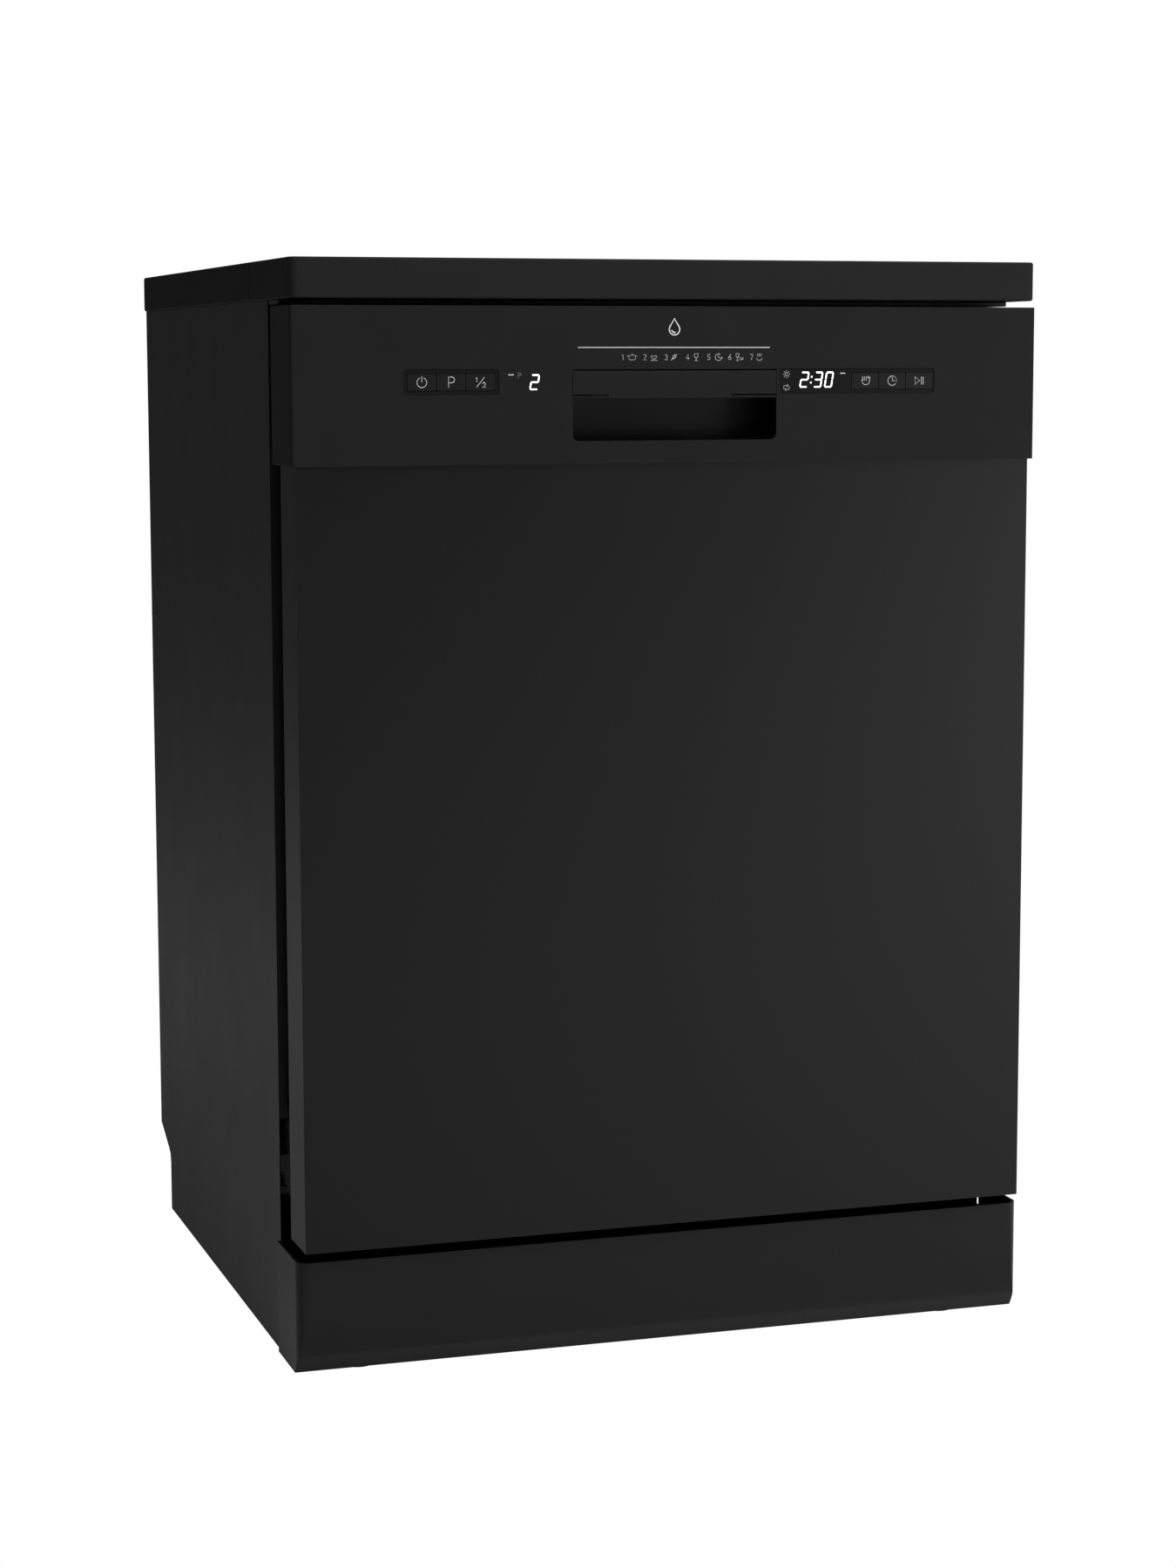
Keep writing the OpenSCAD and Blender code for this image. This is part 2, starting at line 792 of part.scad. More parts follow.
// Inlet valve on the base's back wall, with the hose thread behind it
module inlet_valve() {
    y1 = base_back_y - base_wall;
    color([0.85, 0.85, 0.82]) {
        block(inlet_x - 20, inlet_x + 20, y1 - 34, y1, base_lift + base_wall, port_z + 22);
        bar_y(y1, notch_y + 1, inlet_x, port_z, inlet_r + 0.8);
        bar_y(notch_y + 1, notch_y + 15, inlet_x, port_z, inlet_r);
    }
}

// Drain hose outlet on the base's back wall
module drain_outlet() {
    y1 = base_back_y - base_wall;
    color([0.25, 0.25, 0.26]) difference() {
        union() {
            block(drain_x - 16, drain_x + 16, y1 - 20, y1, base_lift + base_wall, port_z + 16);
            bar_y(y1, notch_y + 1, drain_x, port_z, drain_r + 0.8);
            bar_y(notch_y + 1, notch_y + 22, drain_x, port_z, drain_r);
        }
        bar_y(y1 - 16, notch_y + 23, drain_x, port_z, drain_r - 2.5);
    }
}

// Gland where the mains cable leaves the back
module mains_gland() {
    y1 = base_back_y - base_wall;
    color([0.06, 0.06, 0.06]) difference() {
        union() {
            block(gland_x - 13, gland_x + 13, y1 - 6, y1, base_lift + base_wall, port_z + 14);
            bar_y(y1, notch_y + 1, gland_x, port_z, gland_r + 4.5);
            bar_y(notch_y + 1, notch_y + 10, gland_x, port_z, gland_r + 7);
        }
        bar_y(y1 - 7, notch_y + 11, gland_x, port_z, gland_r);
    }
}

// Softener tank hung under the tub's floor, with its salt filler in the floor
module water_softener() {
    z0 = ledge_z - softener_h;
    color([0.86, 0.86, 0.84]) difference() {
        union() {
            block(salt_x - softener_w / 2, salt_x + softener_w / 2, salt_y - softener_d / 2,
                salt_y + softener_d / 2, z0, ledge_z - 6);
            bar_z(ledge_z - 6, ledge_z, salt_x, salt_y, salt_neck_r + 8);
            bar_z(ledge_z, tub_floor + 4, salt_x, salt_y, salt_neck_r);
        }
        bar_z(z0 + 6, tub_floor + 5, salt_x, salt_y, salt_neck_r - 4);
    }
}

// Screw cap of the salt filler
module salt_cap() {
    z = tub_floor + 4;
    color([0.82, 0.83, 0.84]) {
        bar_z(z - 10, z, salt_x, salt_y, salt_neck_r - 4 - pin_clear);
        bar_z(z, z + 5, salt_x, salt_y, salt_neck_r + 3);
        block(salt_x - salt_neck_r, salt_x + salt_neck_r, salt_y - 3, salt_y + 3, z + 5, z + 11);
    }
}

// Feed tube up the tub's back wall, with the upper spray arm's nozzle
module feed_tube() {
    y1 = tub_back - tub_t;
    y0 = y1 - tube_d;
    nozzle_z = dock_z;
    color([0.3, 0.31, 0.33]) difference() {
        union() {
            block(-tube_w / 2, tube_w / 2, y0, y1, tub_floor, nozzle_z + 14);
            bar_y(basket_back + 1, y0, 0, nozzle_z, 11);
        }
        block(-tube_w / 2 + 3, tube_w / 2 - 3, y0 + 3, y1 - 3, tub_floor + 8, nozzle_z + 8);
        bar_y(basket_back, y0 + 4, 0, nozzle_z, 7);
    }
}

// ---- Spray arms ----

// Flat spray arm with round ends and jets, turning on the pin at its middle
module spray_arm(z, bore) {
    half = spray_arm_l / 2 - arm_w / 2;
    color([0.42, 0.43, 0.45]) translate([arm_cx, arm_cy, z]) difference() {
        union() {
            linear_extrude(arm_t) union() {
                translate([-half, -arm_w / 2]) square([2 * half, arm_w]);
                for (x = [-half, half]) translate([x, 0]) circle(arm_w / 2);
            }
            cylinder(h = arm_t, r = arm_hub_r);
        }
        translate([0, 0, -over]) cylinder(h = arm_t + 2 * over, r = bore);
        for (i = [1 : 4], s = [-1, 1])
            translate([s * (i * half / 4.4 + 10), s * (i % 2 == 0 ? 8 : -8), arm_t - 3])
                cylinder(h = 4, r = 2);
    }
}

module lower_spray_arm() {
    spray_arm(lower_arm_z, arm_pin_r + pin_clear);
}

module upper_spray_arm() {
    spray_arm(upper_arm_z, arm_pin_r + pin_clear);
}

// ---- Baskets ----

// Basket of coated wire: a floor and four sides, each a flat panel of its own
module wire_basket(z0, z1) {
    w = wire_t;
    x = basket_half;
    y0 = basket_front;
    y1 = basket_back;
    foot = z0 + w + weld_gap;
    inner = w + weld_gap;
    translate([0, 0, z0]) linear_extrude(w) mesh_sheet(-x, x, y0, y1, w, grid_cell);
    for (y = [y0, y1 - w]) upright(y, y + w) mesh_sheet(-x, x, foot, z1, w, grid_cell);
    for (s = [-x, x - w])
        sideways(s, s + w) mesh_sheet(y0 + inner, y1 - inner, foot, z1, w, grid_cell);
}

// A row of upright tines on a cross wire that lies on a basket's floor at z
module tine_row(x0, x1, y, z, h) {
    w = wire_t;
    z0 = z + w + weld_gap;
    upright(y, y + w) {
        block_2d(x0, x1, z0, z0 + w);
        for (x = [x0 : tine_pitch : x1 - w]) block_2d(x, x + w, z0, z0 + h);
    }
}

// Lower basket with plate tines and four wheel forks
module lower_basket() {
    z = lower_floor;
    w = wire_t;
    color([0.45, 0.47, 0.5]) {
        wire_basket(z, z + lower_basket_h);
        for (y = tine_rows)
            tine_row(-basket_half + w + weld_gap, cutlery_x0() - 12, y, z, tine_h);
        for (y = [wheel_front_y, wheel_rear_y]) both_sides() {
            block(wheel_x0 - fork_t, wheel_x0, y - 9, y + 9, wheel_z - 8, z - weld_gap);
            bar_x(wheel_x0, wheel_x0 + wheel_w + 1, y, wheel_z, axle_r);
            bar_x(wheel_x0 + wheel_w + 1, wheel_x0 + wheel_w + 3, y, wheel_z, axle_r + 3);
        }
    }
}

// Left side of the cutlery basket
function cutlery_x0() = basket_half - wire_t - 6 - cutlery_w;

// Cutlery basket in flat panels, with a carrying handle on its middle wall
module cutlery_basket() {
    w = cutlery_wall;
    g = weld_gap;
    x0 = cutlery_x0();
    x1 = x0 + cutlery_w;
    y0 = basket_front + 20;
    y1 = y0 + cutlery_l;
    z0 = lower_floor + wire_t;
    z1 = z0 + cutlery_h;
    xm = (x0 + x1) / 2;
    ym = (y0 + y1) / 2;
    foot = z0 + w + g;
    sill = z1 - 10;
    grip = z1 + 26;
    color([0.5, 0.52, 0.55]) {
        translate([0, 0, z0]) linear_extrude(w) mesh_sheet(x0, x1, y0, y1, w, 16);
        for (y = [y0, y1 - w]) upright(y, y + w) mesh_sheet(x0, x1, foot, z1, w, 18);
        for (x = [x0, x1 - w])
            sideways(x, x + w) mesh_sheet(y0 + w + g, y1 - w - g, foot, z1, w, 18);
        sideways(xm - 3, xm + 3) {
            block_2d(y0 + w + g, y1 - w - g, foot, sill);
            for (y = [ym - 50, ym + 42]) block_2d(y, y + 8, sill + g, grip - g);
            block_2d(ym - 50, ym + 50, grip, grip + 8);
        }
    }
}

// Wheels of the lower basket on one axle line
module basket_wheels(y) {
    color([0.4, 0.41, 0.43]) both_sides() difference() {
        bar_x(wheel_x0 + 0.4, wheel_x0 + wheel_w + 0.6, y, wheel_z, wheel_r);
        bar_x(wheel_x0, wheel_x0 + wheel_w + 1, y, wheel_z, axle_r + pin_clear);
        for (a = [0 : 60 : 300]) translate([0, y, wheel_z]) rotate([a, 0, 0])
            bar_x(wheel_x0 - over, wheel_x0 + wheel_w + 2, 0, wheel_r * 0.66, 2);
    }
}

module lower_wheels_front() {
    basket_wheels(wheel_front_y);
}

module lower_wheels_rear() {
    basket_wheels(wheel_rear_y);
}

// Upper basket with its two side rails and the docking pipe of its spray arm
module upper_basket() {
    z = upper_floor;
    w = wire_t;
    x1 = roller_x0 + roller_w + 1;
    color([0.45, 0.47, 0.5]) {
        wire_basket(z, z + upper_basket_h);
        for (y = upper_tine_rows) tine_row(-60, basket_half - 110, y, z, upper_tine_h);
    }
    color([0.75, 0.76, 0.77]) both_sides() {
        // rail: a channel that runs on the rollers
        block(rail_in - rail_t, rail_in, rail_front_y, rail_back_y,
            roller_z - roller_r - rail_gap - rail_t, roller_z + roller_r + rail_gap + rail_t);
        for (s = [-1, 1]) translate([0, 0, roller_z + s * (roller_r + rail_gap + rail_t / 2)])
            block(rail_in, x1, rail_front_y, rail_back_y, -rail_t / 2, rail_t / 2);
        // stops at both ends
        block(rail_in, x1, rail_back_y - 8, rail_back_y, roller_z - roller_r, roller_z + roller_r);
        block(rail_in, x1, rail_front_y, rail_front_y + 5, roller_z - roller_r,
            roller_z + roller_r);
        // brackets from the basket's rim to the rail
        for (y = [basket_front + 60, basket_back - 80])
            block(basket_half + weld_gap, rail_in, y, y + 20, roller_z - 8,
                z + upper_basket_h);
    }
    // clips that the cup shelves turn in
    color([0.45, 0.47, 0.5]) both_sides() for (y = [basket_front + 51, basket_back - 57])
        difference() {
            block(shelf_x - 7, basket_half - wire_t - weld_gap, y, y + 6,
                shelf_z - 7, shelf_z + 7);
            bar_y(y - over, y + 7, shelf_x, shelf_z, shelf_rod_r + pin_clear);
        }
    color([0.3, 0.31, 0.33]) {
        block(arm_cx - 9, arm_cx + 9, arm_cy, basket_back, dock_z - 7, dock_z + 7);
        bar_z(upper_arm_z + arm_t + 1, z - weld_gap, arm_cx, arm_cy, 16);
        // clip, longer than a cell of the basket's floor, so that it always bears on a wire
        block(arm_cx - clip_half, arm_cx + clip_half, arm_cy - 8, arm_cy + 8, z - 4, z - weld_gap);
        bar_z(upper_arm_z - 2, upper_arm_z + arm_t + 1, arm_cx, arm_cy, arm_pin_r);
        bar_z(upper_arm_z - 5, upper_arm_z - 2, arm_cx, arm_cy, arm_pin_r + 5);
    }
}

// Folding cup shelf on one side of the upper basket
module cup_shelf(side) {
    z = shelf_z;
    x1 = shelf_x;
    mirror([side < 0 ? 1 : 0, 0, 0]) color([0.5, 0.52, 0.55]) {
        translate([0, 0, z - 2]) linear_extrude(4)
            mesh_sheet(x1 - 96, x1, basket_front + 60, basket_back - 60, wire_t, 30);
        bar_y(basket_front + 50, basket_back - 50, x1, z, shelf_rod_r);
    }
}

module cup_shelf_left() {
    cup_shelf(-1);
}

module cup_shelf_right() {
    cup_shelf(1);
}

// Rollers on one axle line, which carry the upper basket's rails
module rail_rollers(y) {
    color([0.4, 0.41, 0.43]) both_sides() difference() {
        bar_x(roller_x0, roller_x0 + roller_w, y, roller_z, roller_r);
        bar_x(roller_x0 - over, roller_x0 + roller_w + over, y, roller_z, axle_r + pin_clear);
    }
}

module upper_rollers_front() {
    rail_rollers(roller_front_y);
}

module upper_rollers_rear() {
    rail_rollers(roller_rear_y);
}

// Plates with the rollers' axles, fixed to the tub's walls
module roller_mounts() {
    color([0.66, 0.67, 0.68]) both_sides() {
        block(tub_in - mount_t, tub_in, roller_front_y - 14, roller_rear_y + 14,
            roller_z - 16, roller_z + 16);
        for (y = [roller_front_y, roller_rear_y]) {
            bar_x(roller_x0 - 1, tub_in - mount_t, y, roller_z, axle_r);
            bar_x(roller_x0 - 2, roller_x0 - 1, y, roller_z, axle_r + 2);
        }
    }
}

// ---- Hinges, springs and latch ----

// Fixed hinge plates on the base
module hinge_brackets() {
    color([0.45, 0.45, 0.46]) both_sides() difference() {
        union() {
            sideways(bracket_x, bracket_out) {
                translate([hinge_y, hinge_z]) circle(pivot_r);
                block_2d(hinge_y, base_back_y - 300, hinge_z - 22, hinge_z - 2);
                block_2d(hinge_y + 6, panel_front_y + 20, hinge_z - 2, post_foot_z);
            }
            block(bracket_out, base_out - base_wall, upright_front_y + 5,
                base_back_y - 300, hinge_z - 22, hinge_z - 4);
        }
        bar_x(bracket_x - over, bracket_out + over, hinge_y, hinge_z, hinge_pin_r + pin_clear);
    }
}

// Moving hinge arms screwed into the door, with the pins they turn on
module hinge_arms() {
    color([0.5, 0.5, 0.51]) both_sides() {
        sideways(arm_x, arm_x + hinge_plate_t) {
            translate([hinge_y, hinge_z]) circle(pivot_r);
            polygon([[hinge_y - pivot_r, hinge_z], [arm_edge_y, hinge_z + 30],
                [arm_edge_y, hinge_z + 250], [liner_y, hinge_z + 250],
                [liner_y, hinge_z + 24], [hinge_y, hinge_z + pivot_r]]);
            block_2d(hinge_y - 6, hinge_y + 6, hinge_z - 42, hinge_z);
        }
        bar_x(arm_x + hinge_plate_t, bracket_out + 1, hinge_y, hinge_z, hinge_pin_r);
    }
}

// Balance springs beside the sump, with their hooks
module door_springs() {
    hook = 2;
    color([0.55, 0.56, 0.57]) both_sides() {
        difference() {
            bar_y(spring_front_y, spring_back_y, spring_x, spring_z, spring_r);
            bar_y(spring_front_y - over, spring_back_y + over, spring_x, spring_z,
                spring_r - 2.5);
        }
        for (y = [spring_front_y, spring_back_y - 3])
            block(spring_x - hook, spring_x + hook, y, y + 3, spring_z - spring_r + 1,
                spring_z + spring_r - 1);
        bar_y(spring_back_y, base_back_y - base_wall, spring_x, spring_z, hook);
        bar_y(spring_front_y - 20, spring_front_y, spring_x, spring_z, hook);
        // anchor from the spring's front hook to the hinge plate
        block(spring_x - hook, bracket_out, spring_front_y - 24, spring_front_y - 20,
            spring_z - 4, hinge_z - 22);
    }
}

// Steel tongue that the door's latch hooks on
module latch_striker() {
    y1 = panel_front_y + sheet_t;
    color([0.6, 0.6, 0.61]) {
        block(-12, 12, tongue_front_y, y1, tongue_z, tongue_z + tongue_t);
        block(-12, 12, tongue_front_y, tongue_front_y + 2, tongue_z - 8, tongue_z);
    }
}

// Hook inside the control panel that the handle's lever works
module latch_hook() {
    h = hook_half;
    color([0.6, 0.6, 0.61]) {
        sideways(-h, h) difference() {
            union() {
                translate([hook_axis_y, hook_axis_z]) circle(hook_hub_r);
                polygon([[hook_axis_y, hook_axis_z - hook_hub_r], [nose_y1, hook_axis_z + 6],
                    [nose_y1, tongue_z - 0.5], [nose_y0, tongue_z - 0.5],
                    [nose_y0, hook_axis_z + 13], [hook_axis_y, hook_axis_z + hook_hub_r]]);
                // stem and the pad that the lever's rib pushes
                block_2d(hook_axis_y - 4, hook_axis_y, hook_axis_z, finger_top);
                block_2d(finger_y + finger_t + move_clear, hook_axis_y - 2,
                    finger_top - 5, finger_top);
            }
            translate([hook_axis_y, hook_axis_z]) circle(hook_pin_r + pin_clear);
        }
    }
}

// ---- Door ----

// Painted steel skin with folded sides and bottom
module door_outer_panel() {
    x = door_half_w;
    t = door_skin_t;
    top = console_bottom + door_tuck;
    color([0.08, 0.08, 0.085]) {
        block(-x, x, door_front_y, door_front_y + t, door_bottom, top);
        both_sides() {
            block(x - t, x, door_front_y + t, door_return_y, door_bottom, top);
            block(x - t, x, console_in_y + over, door_return_y, top, liner_top);
            block(arm_x + hinge_plate_t + 0.5, x - t, door_return_y - t, door_return_y, ankle_z,
                liner_top);
        }
        block(-x + t, x - t, door_front_y + t, door_front_y + 26, door_bottom,
            door_bottom + t);
    }
}

// Outline of the liner's frame: full width above the hinges, narrower between them
module liner_outline() {
    x = liner_half_w;
    ankle = arm_x - move_clear;
    block_2d(-x, x, ankle_z, liner_top - 8);
    round_rect(-x, x, ankle_z, liner_top, 8);
    block_2d(-ankle, ankle, liner_bottom, ankle_z);
}

// Stainless inner door, pressed in towards the tub
module door_liner() {
    t = liner_t;
    field_r = 22;
    slot = 18;
    color([0.72, 0.73, 0.74]) difference() {
        union() {
            upright(liner_y, liner_back_y) liner_outline();
            upright(liner_back_y, field_y)
                round_rect(-field_half, field_half, field_bottom, field_top, field_r);
        }
        upright(liner_y - over, field_y - t)
            round_rect(-field_half + t, field_half - t, field_bottom + t, field_top - t,
                field_r - t);
        upright(liner_y - over, field_y + over)
            block_2d(disp_x0, disp_x1, disp_z0, disp_z1);
        block(-slot, slot, liner_y - over, liner_back_y + over, hook_axis_z,
            liner_top + over);
    }
}

// Moulded control panel: a box open at the back, with openings for keys and handle
module console_panel() {
    w = console_wall;
    color([0.09, 0.09, 0.095]) difference() {
        translate([0, 0, console_bottom]) linear_extrude(console_h) difference() {
            round_rect(-half_w, half_w, front_y, console_back_y + 4, 2.5);
            block_2d(-half_w - over, half_w + over, console_back_y, console_back_y + 5);
        }
        block(-half_w + w, half_w - w, console_in_y, console_back_y + over,
            console_bottom - over, console_top - w);
        upright(front_y - over, console_in_y + over) {
            round_rect(left_frame_x0, left_frame_x1, frame_z0, frame_z1, 3);
            round_rect(right_frame_x0, right_frame_x1, frame_z0, frame_z1, 3);
            round_rect(-handle_half, handle_half, handle_bottom, handle_top, 5);
            block_2d(-handle_half, handle_half, handle_top - 8, handle_top);
        }
    }
}

// One framed key window with a rim behind the control panel
module key_window(x0, x1, keys_x, keys, left_flange) {
    f = window_flange;
    k0 = keys_x - move_clear;
    k1 = keys_x + keys * key_pitch - key_gap + move_clear;
    difference() {
        union() {
            upright(frame_face_y, console_in_y) round_rect(x0 + 0.1, x1 - 0.1,
                frame_z0 + 0.1, frame_z1 - 0.1, 3);
            upright(console_in_y, console_in_y + 1.5)
                block_2d(x0 + 0.1 - left_flange, x1 + f, frame_z0 - f, frame_z1 + f);
        }
        block(k0, k1, frame_face_y - over, console_in_y + 3,
            key_z - key_h / 2 - move_clear, key_z + key_h / 2 + move_clear);
    }
}

// Key surrounds; the right one is also the display's window
module display_windows() {
    color([0.03, 0.03, 0.035, 0.9]) {
        key_window(left_frame_x0, left_frame_x1, left_keys_x, 3, window_flange);
        key_window(right_frame_x0, right_frame_x1, right_keys_x, 3, 0);
    }
}

// One control key with a shoulder that keeps it in
module control_key(x0) {
    color([0.11, 0.11, 0.115]) {
        upright(key_front_y, key_back_y)
            round_rect(x0, x0 + key_w, key_z - key_h / 2, key_z + key_h / 2, 1);
        block(x0, x0 + key_w, console_in_y + 1.8, console_in_y + 3,
            key_z - key_h / 2 - 1.2, key_z + key_h / 2 + 1.2);
    }
}

module power_key() {
    control_key(left_keys_x);
}

module program_key() {
    control_key(left_keys_x + key_pitch);
}

module half_load_key() {
    control_key(left_keys_x + 2 * key_pitch);
}

module dry_key() {
    control_key(right_keys_x);
}

module delay_key() {
    control_key(right_keys_x + key_pitch);
}

module start_key() {
    control_key(right_keys_x + 2 * key_pitch);
}

// Circuit boards behind the keys, on posts from the control panel
module control_board() {
    z0 = frame_z0 - 12;
    z1 = frame_z1 + 12;
    spans = [[left_frame_x0 - 12, left_frame_x1 + 30], [right_frame_x0 + 6, right_frame_x1 + 12]];
    switch_y = key_back_y + key_travel + 0.4;
    color([0.05, 0.3, 0.15]) for (s = spans) {
        block(s[0], s[1], board_y, board_y + board_t, z0, z1);
        for (x = [s[0] + 4, s[1] - 4], z = [z0 + 4, z1 - 4])
            bar_y(console_in_y, board_y, x, z, 2.5);
    }
    color([0.1, 0.1, 0.1]) for (k = [left_keys_x, right_keys_x], i = [0 : 2])
        block(k + i * key_pitch + key_w / 2 - 3, k + i * key_pitch + key_w / 2 + 3,
            switch_y, board_y, key_z - 3, key_z + 3);
}

// Recess behind the handle's lever, open at the front
module handle_cup() {
    w = 2;
    back = front_y + 38;
    x = handle_half;
    z0 = handle_bottom;
    z1 = lever_axis_z + 2;
    color([0.04, 0.04, 0.04]) difference() {
        union() {
            upright(console_in_y, back) round_rect(-x - w, x + w, z0 - w, z1, 6);
            // blocks below both ends of the lever
            for (s = [[-x + 0.2, lip_x0], [lip_x1, x - 0.2]])
                upright(front_y + 0.5, console_in_y) block_2d(s[0], s[1],
                    lever_bottom - lip_drop, lever_bottom - 0.9);
        }
        upright(console_in_y - over, back - w) difference() {
            round_rect(-x, x, z0, z1 + 8, 5);
            for (s = [[-x - over, lip_x0], [lip_x1, x + over]])
                block_2d(s[0], s[1], lever_bottom - lip_drop, lever_bottom - 0.9);
        }
        for (s = [-1, 1]) bar_x(s > 0 ? x - over : -x - w - over, s > 0 ? x + w + over : -x + over,
            lever_axis_y, lever_axis_z, lever_pin_r + pin_clear);
    }
    // ears and pin that the latch hook turns on
    color([0.04, 0.04, 0.04]) {
        both_sides() block(hook_half + 0.5, hook_half + 3.5, hook_axis_y - 6, hook_axis_y + 6,
            z1 - w, hook_axis_z + 5);
        bar_x(-hook_half - 1, hook_half + 1, hook_axis_y, hook_axis_z, hook_pin_r);
    }
}

// Lever that the fingers pull, with a rib up to the latch hook
module handle_lever() {
    x = lever_half;
    y0 = front_y;
    t = lever_t;
    color([0.09, 0.09, 0.095]) {
        sideways(-x, x) polygon([[y0, lever_bottom], [y0, lever_top - lever_edge],
            [y0 + lever_edge, lever_top], [y0 + t, lever_top], [y0 + t, lever_bottom]]);
        block(lip_x0 + 0.3, lip_x1 - 0.3, y0, y0 + t, lever_bottom - lip_drop, lever_bottom);
        block(lip_x0 + 0.3, lip_x1 - 0.3, y0 + t, y0 + 14, lever_bottom - lip_drop,
            lever_bottom - 0.3);
        both_sides() {
            block(x - 3, x, y0 + t, lever_axis_y + 2, lever_axis_z - 8, lever_axis_z + 2);
            bar_x(x, handle_half + 2, lever_axis_y, lever_axis_z, lever_pin_r);
        }
        block(-4, 4, y0 + t, finger_y + finger_t, lever_axis_z - 6, lever_axis_z);
        block(-4, 4, finger_y, finger_y + finger_t, lever_axis_z, finger_top);
    }
}

// ---- Detergent dispenser ----

// Body set into the inner door, with the detergent tray and the rinse aid tank
module dispenser_body() {
    back = field_y - disp_depth;
    face = field_y + disp_proud;
    w = disp_wall;
    color([0.8, 0.81, 0.82]) difference() {
        union() {
            upright(back, field_y) block_2d(disp_x0, disp_x1, disp_z0, disp_z1);
            upright(field_y, face)
                round_rect(disp_x0 - 6, disp_x1 + 6, disp_z0 - 6, disp_z1 + 6, 10);
        }
        upright(back + w, face + over) round_rect(tray_x0, tray_x1, tray_z0, tray_z1, 6);
        bar_y(back + w, face + over, cap_x, cap_z, rinse_neck_r);
        // channel that the sliding lid moves in
        block(tray_x0 - 5, tray_x1 + 5, face - 3, face + over, disp_z0, tray_z1 + 3);
    }
}

// Lid that slides down off the detergent tray
module dispenser_lid() {
    face = field_y + disp_proud;
    z0 = tray_z0 - 3;
    z1 = tray_z1 + 2.6;
    color([0.72, 0.73, 0.75]) {
        block(tray_x0 - 4.6, tray_x1 + 4.6, face - 2.7, face - 0.7, z0, z1);
        block((tray_x0 + tray_x1) / 2 - 14, (tray_x0 + tray_x1) / 2 + 14, face - 0.7,
            face + 1.6, z0 + 8, z0 + 13);
    }
}

// Twist cap of the rinse aid tank
module rinse_cap() {
    face = field_y + disp_proud;
    color([0.25, 0.4, 0.62]) {
        bar_y(face - 10, face, cap_x, cap_z, rinse_neck_r - pin_clear);
        bar_y(face, face + 3, cap_x, cap_z, rinse_r);
        block(cap_x - rinse_r + 3, cap_x + rinse_r - 3, face + 3, face + 6,
            cap_z - 2.5, cap_z + 2.5);
    }
}

// ---- Fasteners ----

// Pan head screw along Y, with its head at the front or at the back
module screw_y(x, y, z, length) {
    head = 1.6;
    bar_y(min(y, y + sign(length) * head), max(y, y + sign(length) * head), x, z, 3.4);
}

// Screw heads on the back sheet and over the front rail
module cabinet_screws() {
    color([0.6, 0.6, 0.6]) {
        for (x = [-panel_in_x + 14, -90, 90, panel_in_x - 14], z = [110, 440, worktop_z - 14])
            screw_y(x, panel_back_y, z, 1);
        for (x = [-240, 240])
            bar_z(worktop_z - top_plate_t - 1.2, worktop_z - top_plate_t, x, console_back_y + 8, 3.4);
    }
}

// Screw heads that hold the liner to the skin
module door_screws() {
    color([0.6, 0.6, 0.6])
        for (x = [-liner_half_w + 6, liner_half_w - 6], z = [270, 420, 570, 720])
            screw_y(x, liner_back_y, z, 1);
}

worktop_board();
worktop_front_trim();
worktop_edge_trims();
left_side_panel();
right_side_panel();
rear_panel();
front_frame();
base_tray();
kick_plate();
front_left_foot();
front_right_foot();
rear_feet();
tub();
tub_gasket();
sump();
filter_plate();
filter_cup();
wash_pump();
drain_pump();
inlet_valve();
drain_outlet();
water_softener();
salt_cap();
feed_tube();
roller_mounts();
upper_rollers_front();
upper_rollers_rear();
hinge_brackets();
door_springs();
latch_striker();
mains_gland();
cabinet_screws();
door_outer_panel();
door_liner();
console_panel();
display_windows();
control_board();
handle_cup();
handle_lever();
latch_hook();
hinge_arms();
dispenser_body();
dispenser_lid();
rinse_cap();
door_screws();
power_key();
program_key();
half_load_key();
dry_key();
delay_key();
start_key();
upper_basket();
upper_spray_arm();
cup_shelf_left();
cup_shelf_right();
lower_basket();
cutlery_basket();
lower_spray_arm();
lower_wheels_front();
lower_wheels_rear();
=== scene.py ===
"""Freestanding black dishwasher: finishes, wire baskets, printed controls and fittings."""
import json
import math

import bmesh
import bpy
from mathutils import Matrix, Vector

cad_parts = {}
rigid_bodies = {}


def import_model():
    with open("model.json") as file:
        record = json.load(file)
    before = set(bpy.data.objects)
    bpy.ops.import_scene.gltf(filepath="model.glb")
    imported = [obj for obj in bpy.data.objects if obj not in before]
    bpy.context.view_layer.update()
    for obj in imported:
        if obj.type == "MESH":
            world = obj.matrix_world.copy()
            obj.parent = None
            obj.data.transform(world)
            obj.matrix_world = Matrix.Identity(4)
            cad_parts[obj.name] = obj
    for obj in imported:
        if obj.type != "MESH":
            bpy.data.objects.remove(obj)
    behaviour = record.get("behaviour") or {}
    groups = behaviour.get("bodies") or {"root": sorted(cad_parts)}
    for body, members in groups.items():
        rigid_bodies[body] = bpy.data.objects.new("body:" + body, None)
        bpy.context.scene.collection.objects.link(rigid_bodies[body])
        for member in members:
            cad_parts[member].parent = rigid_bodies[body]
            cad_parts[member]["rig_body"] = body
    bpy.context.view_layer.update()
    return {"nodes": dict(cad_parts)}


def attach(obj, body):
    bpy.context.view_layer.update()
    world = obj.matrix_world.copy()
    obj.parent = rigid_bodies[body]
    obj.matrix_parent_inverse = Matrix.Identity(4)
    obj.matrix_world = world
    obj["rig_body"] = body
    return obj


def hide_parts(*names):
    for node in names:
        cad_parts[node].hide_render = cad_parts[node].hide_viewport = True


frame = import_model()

nodes = frame["nodes"]
mm = 0.001

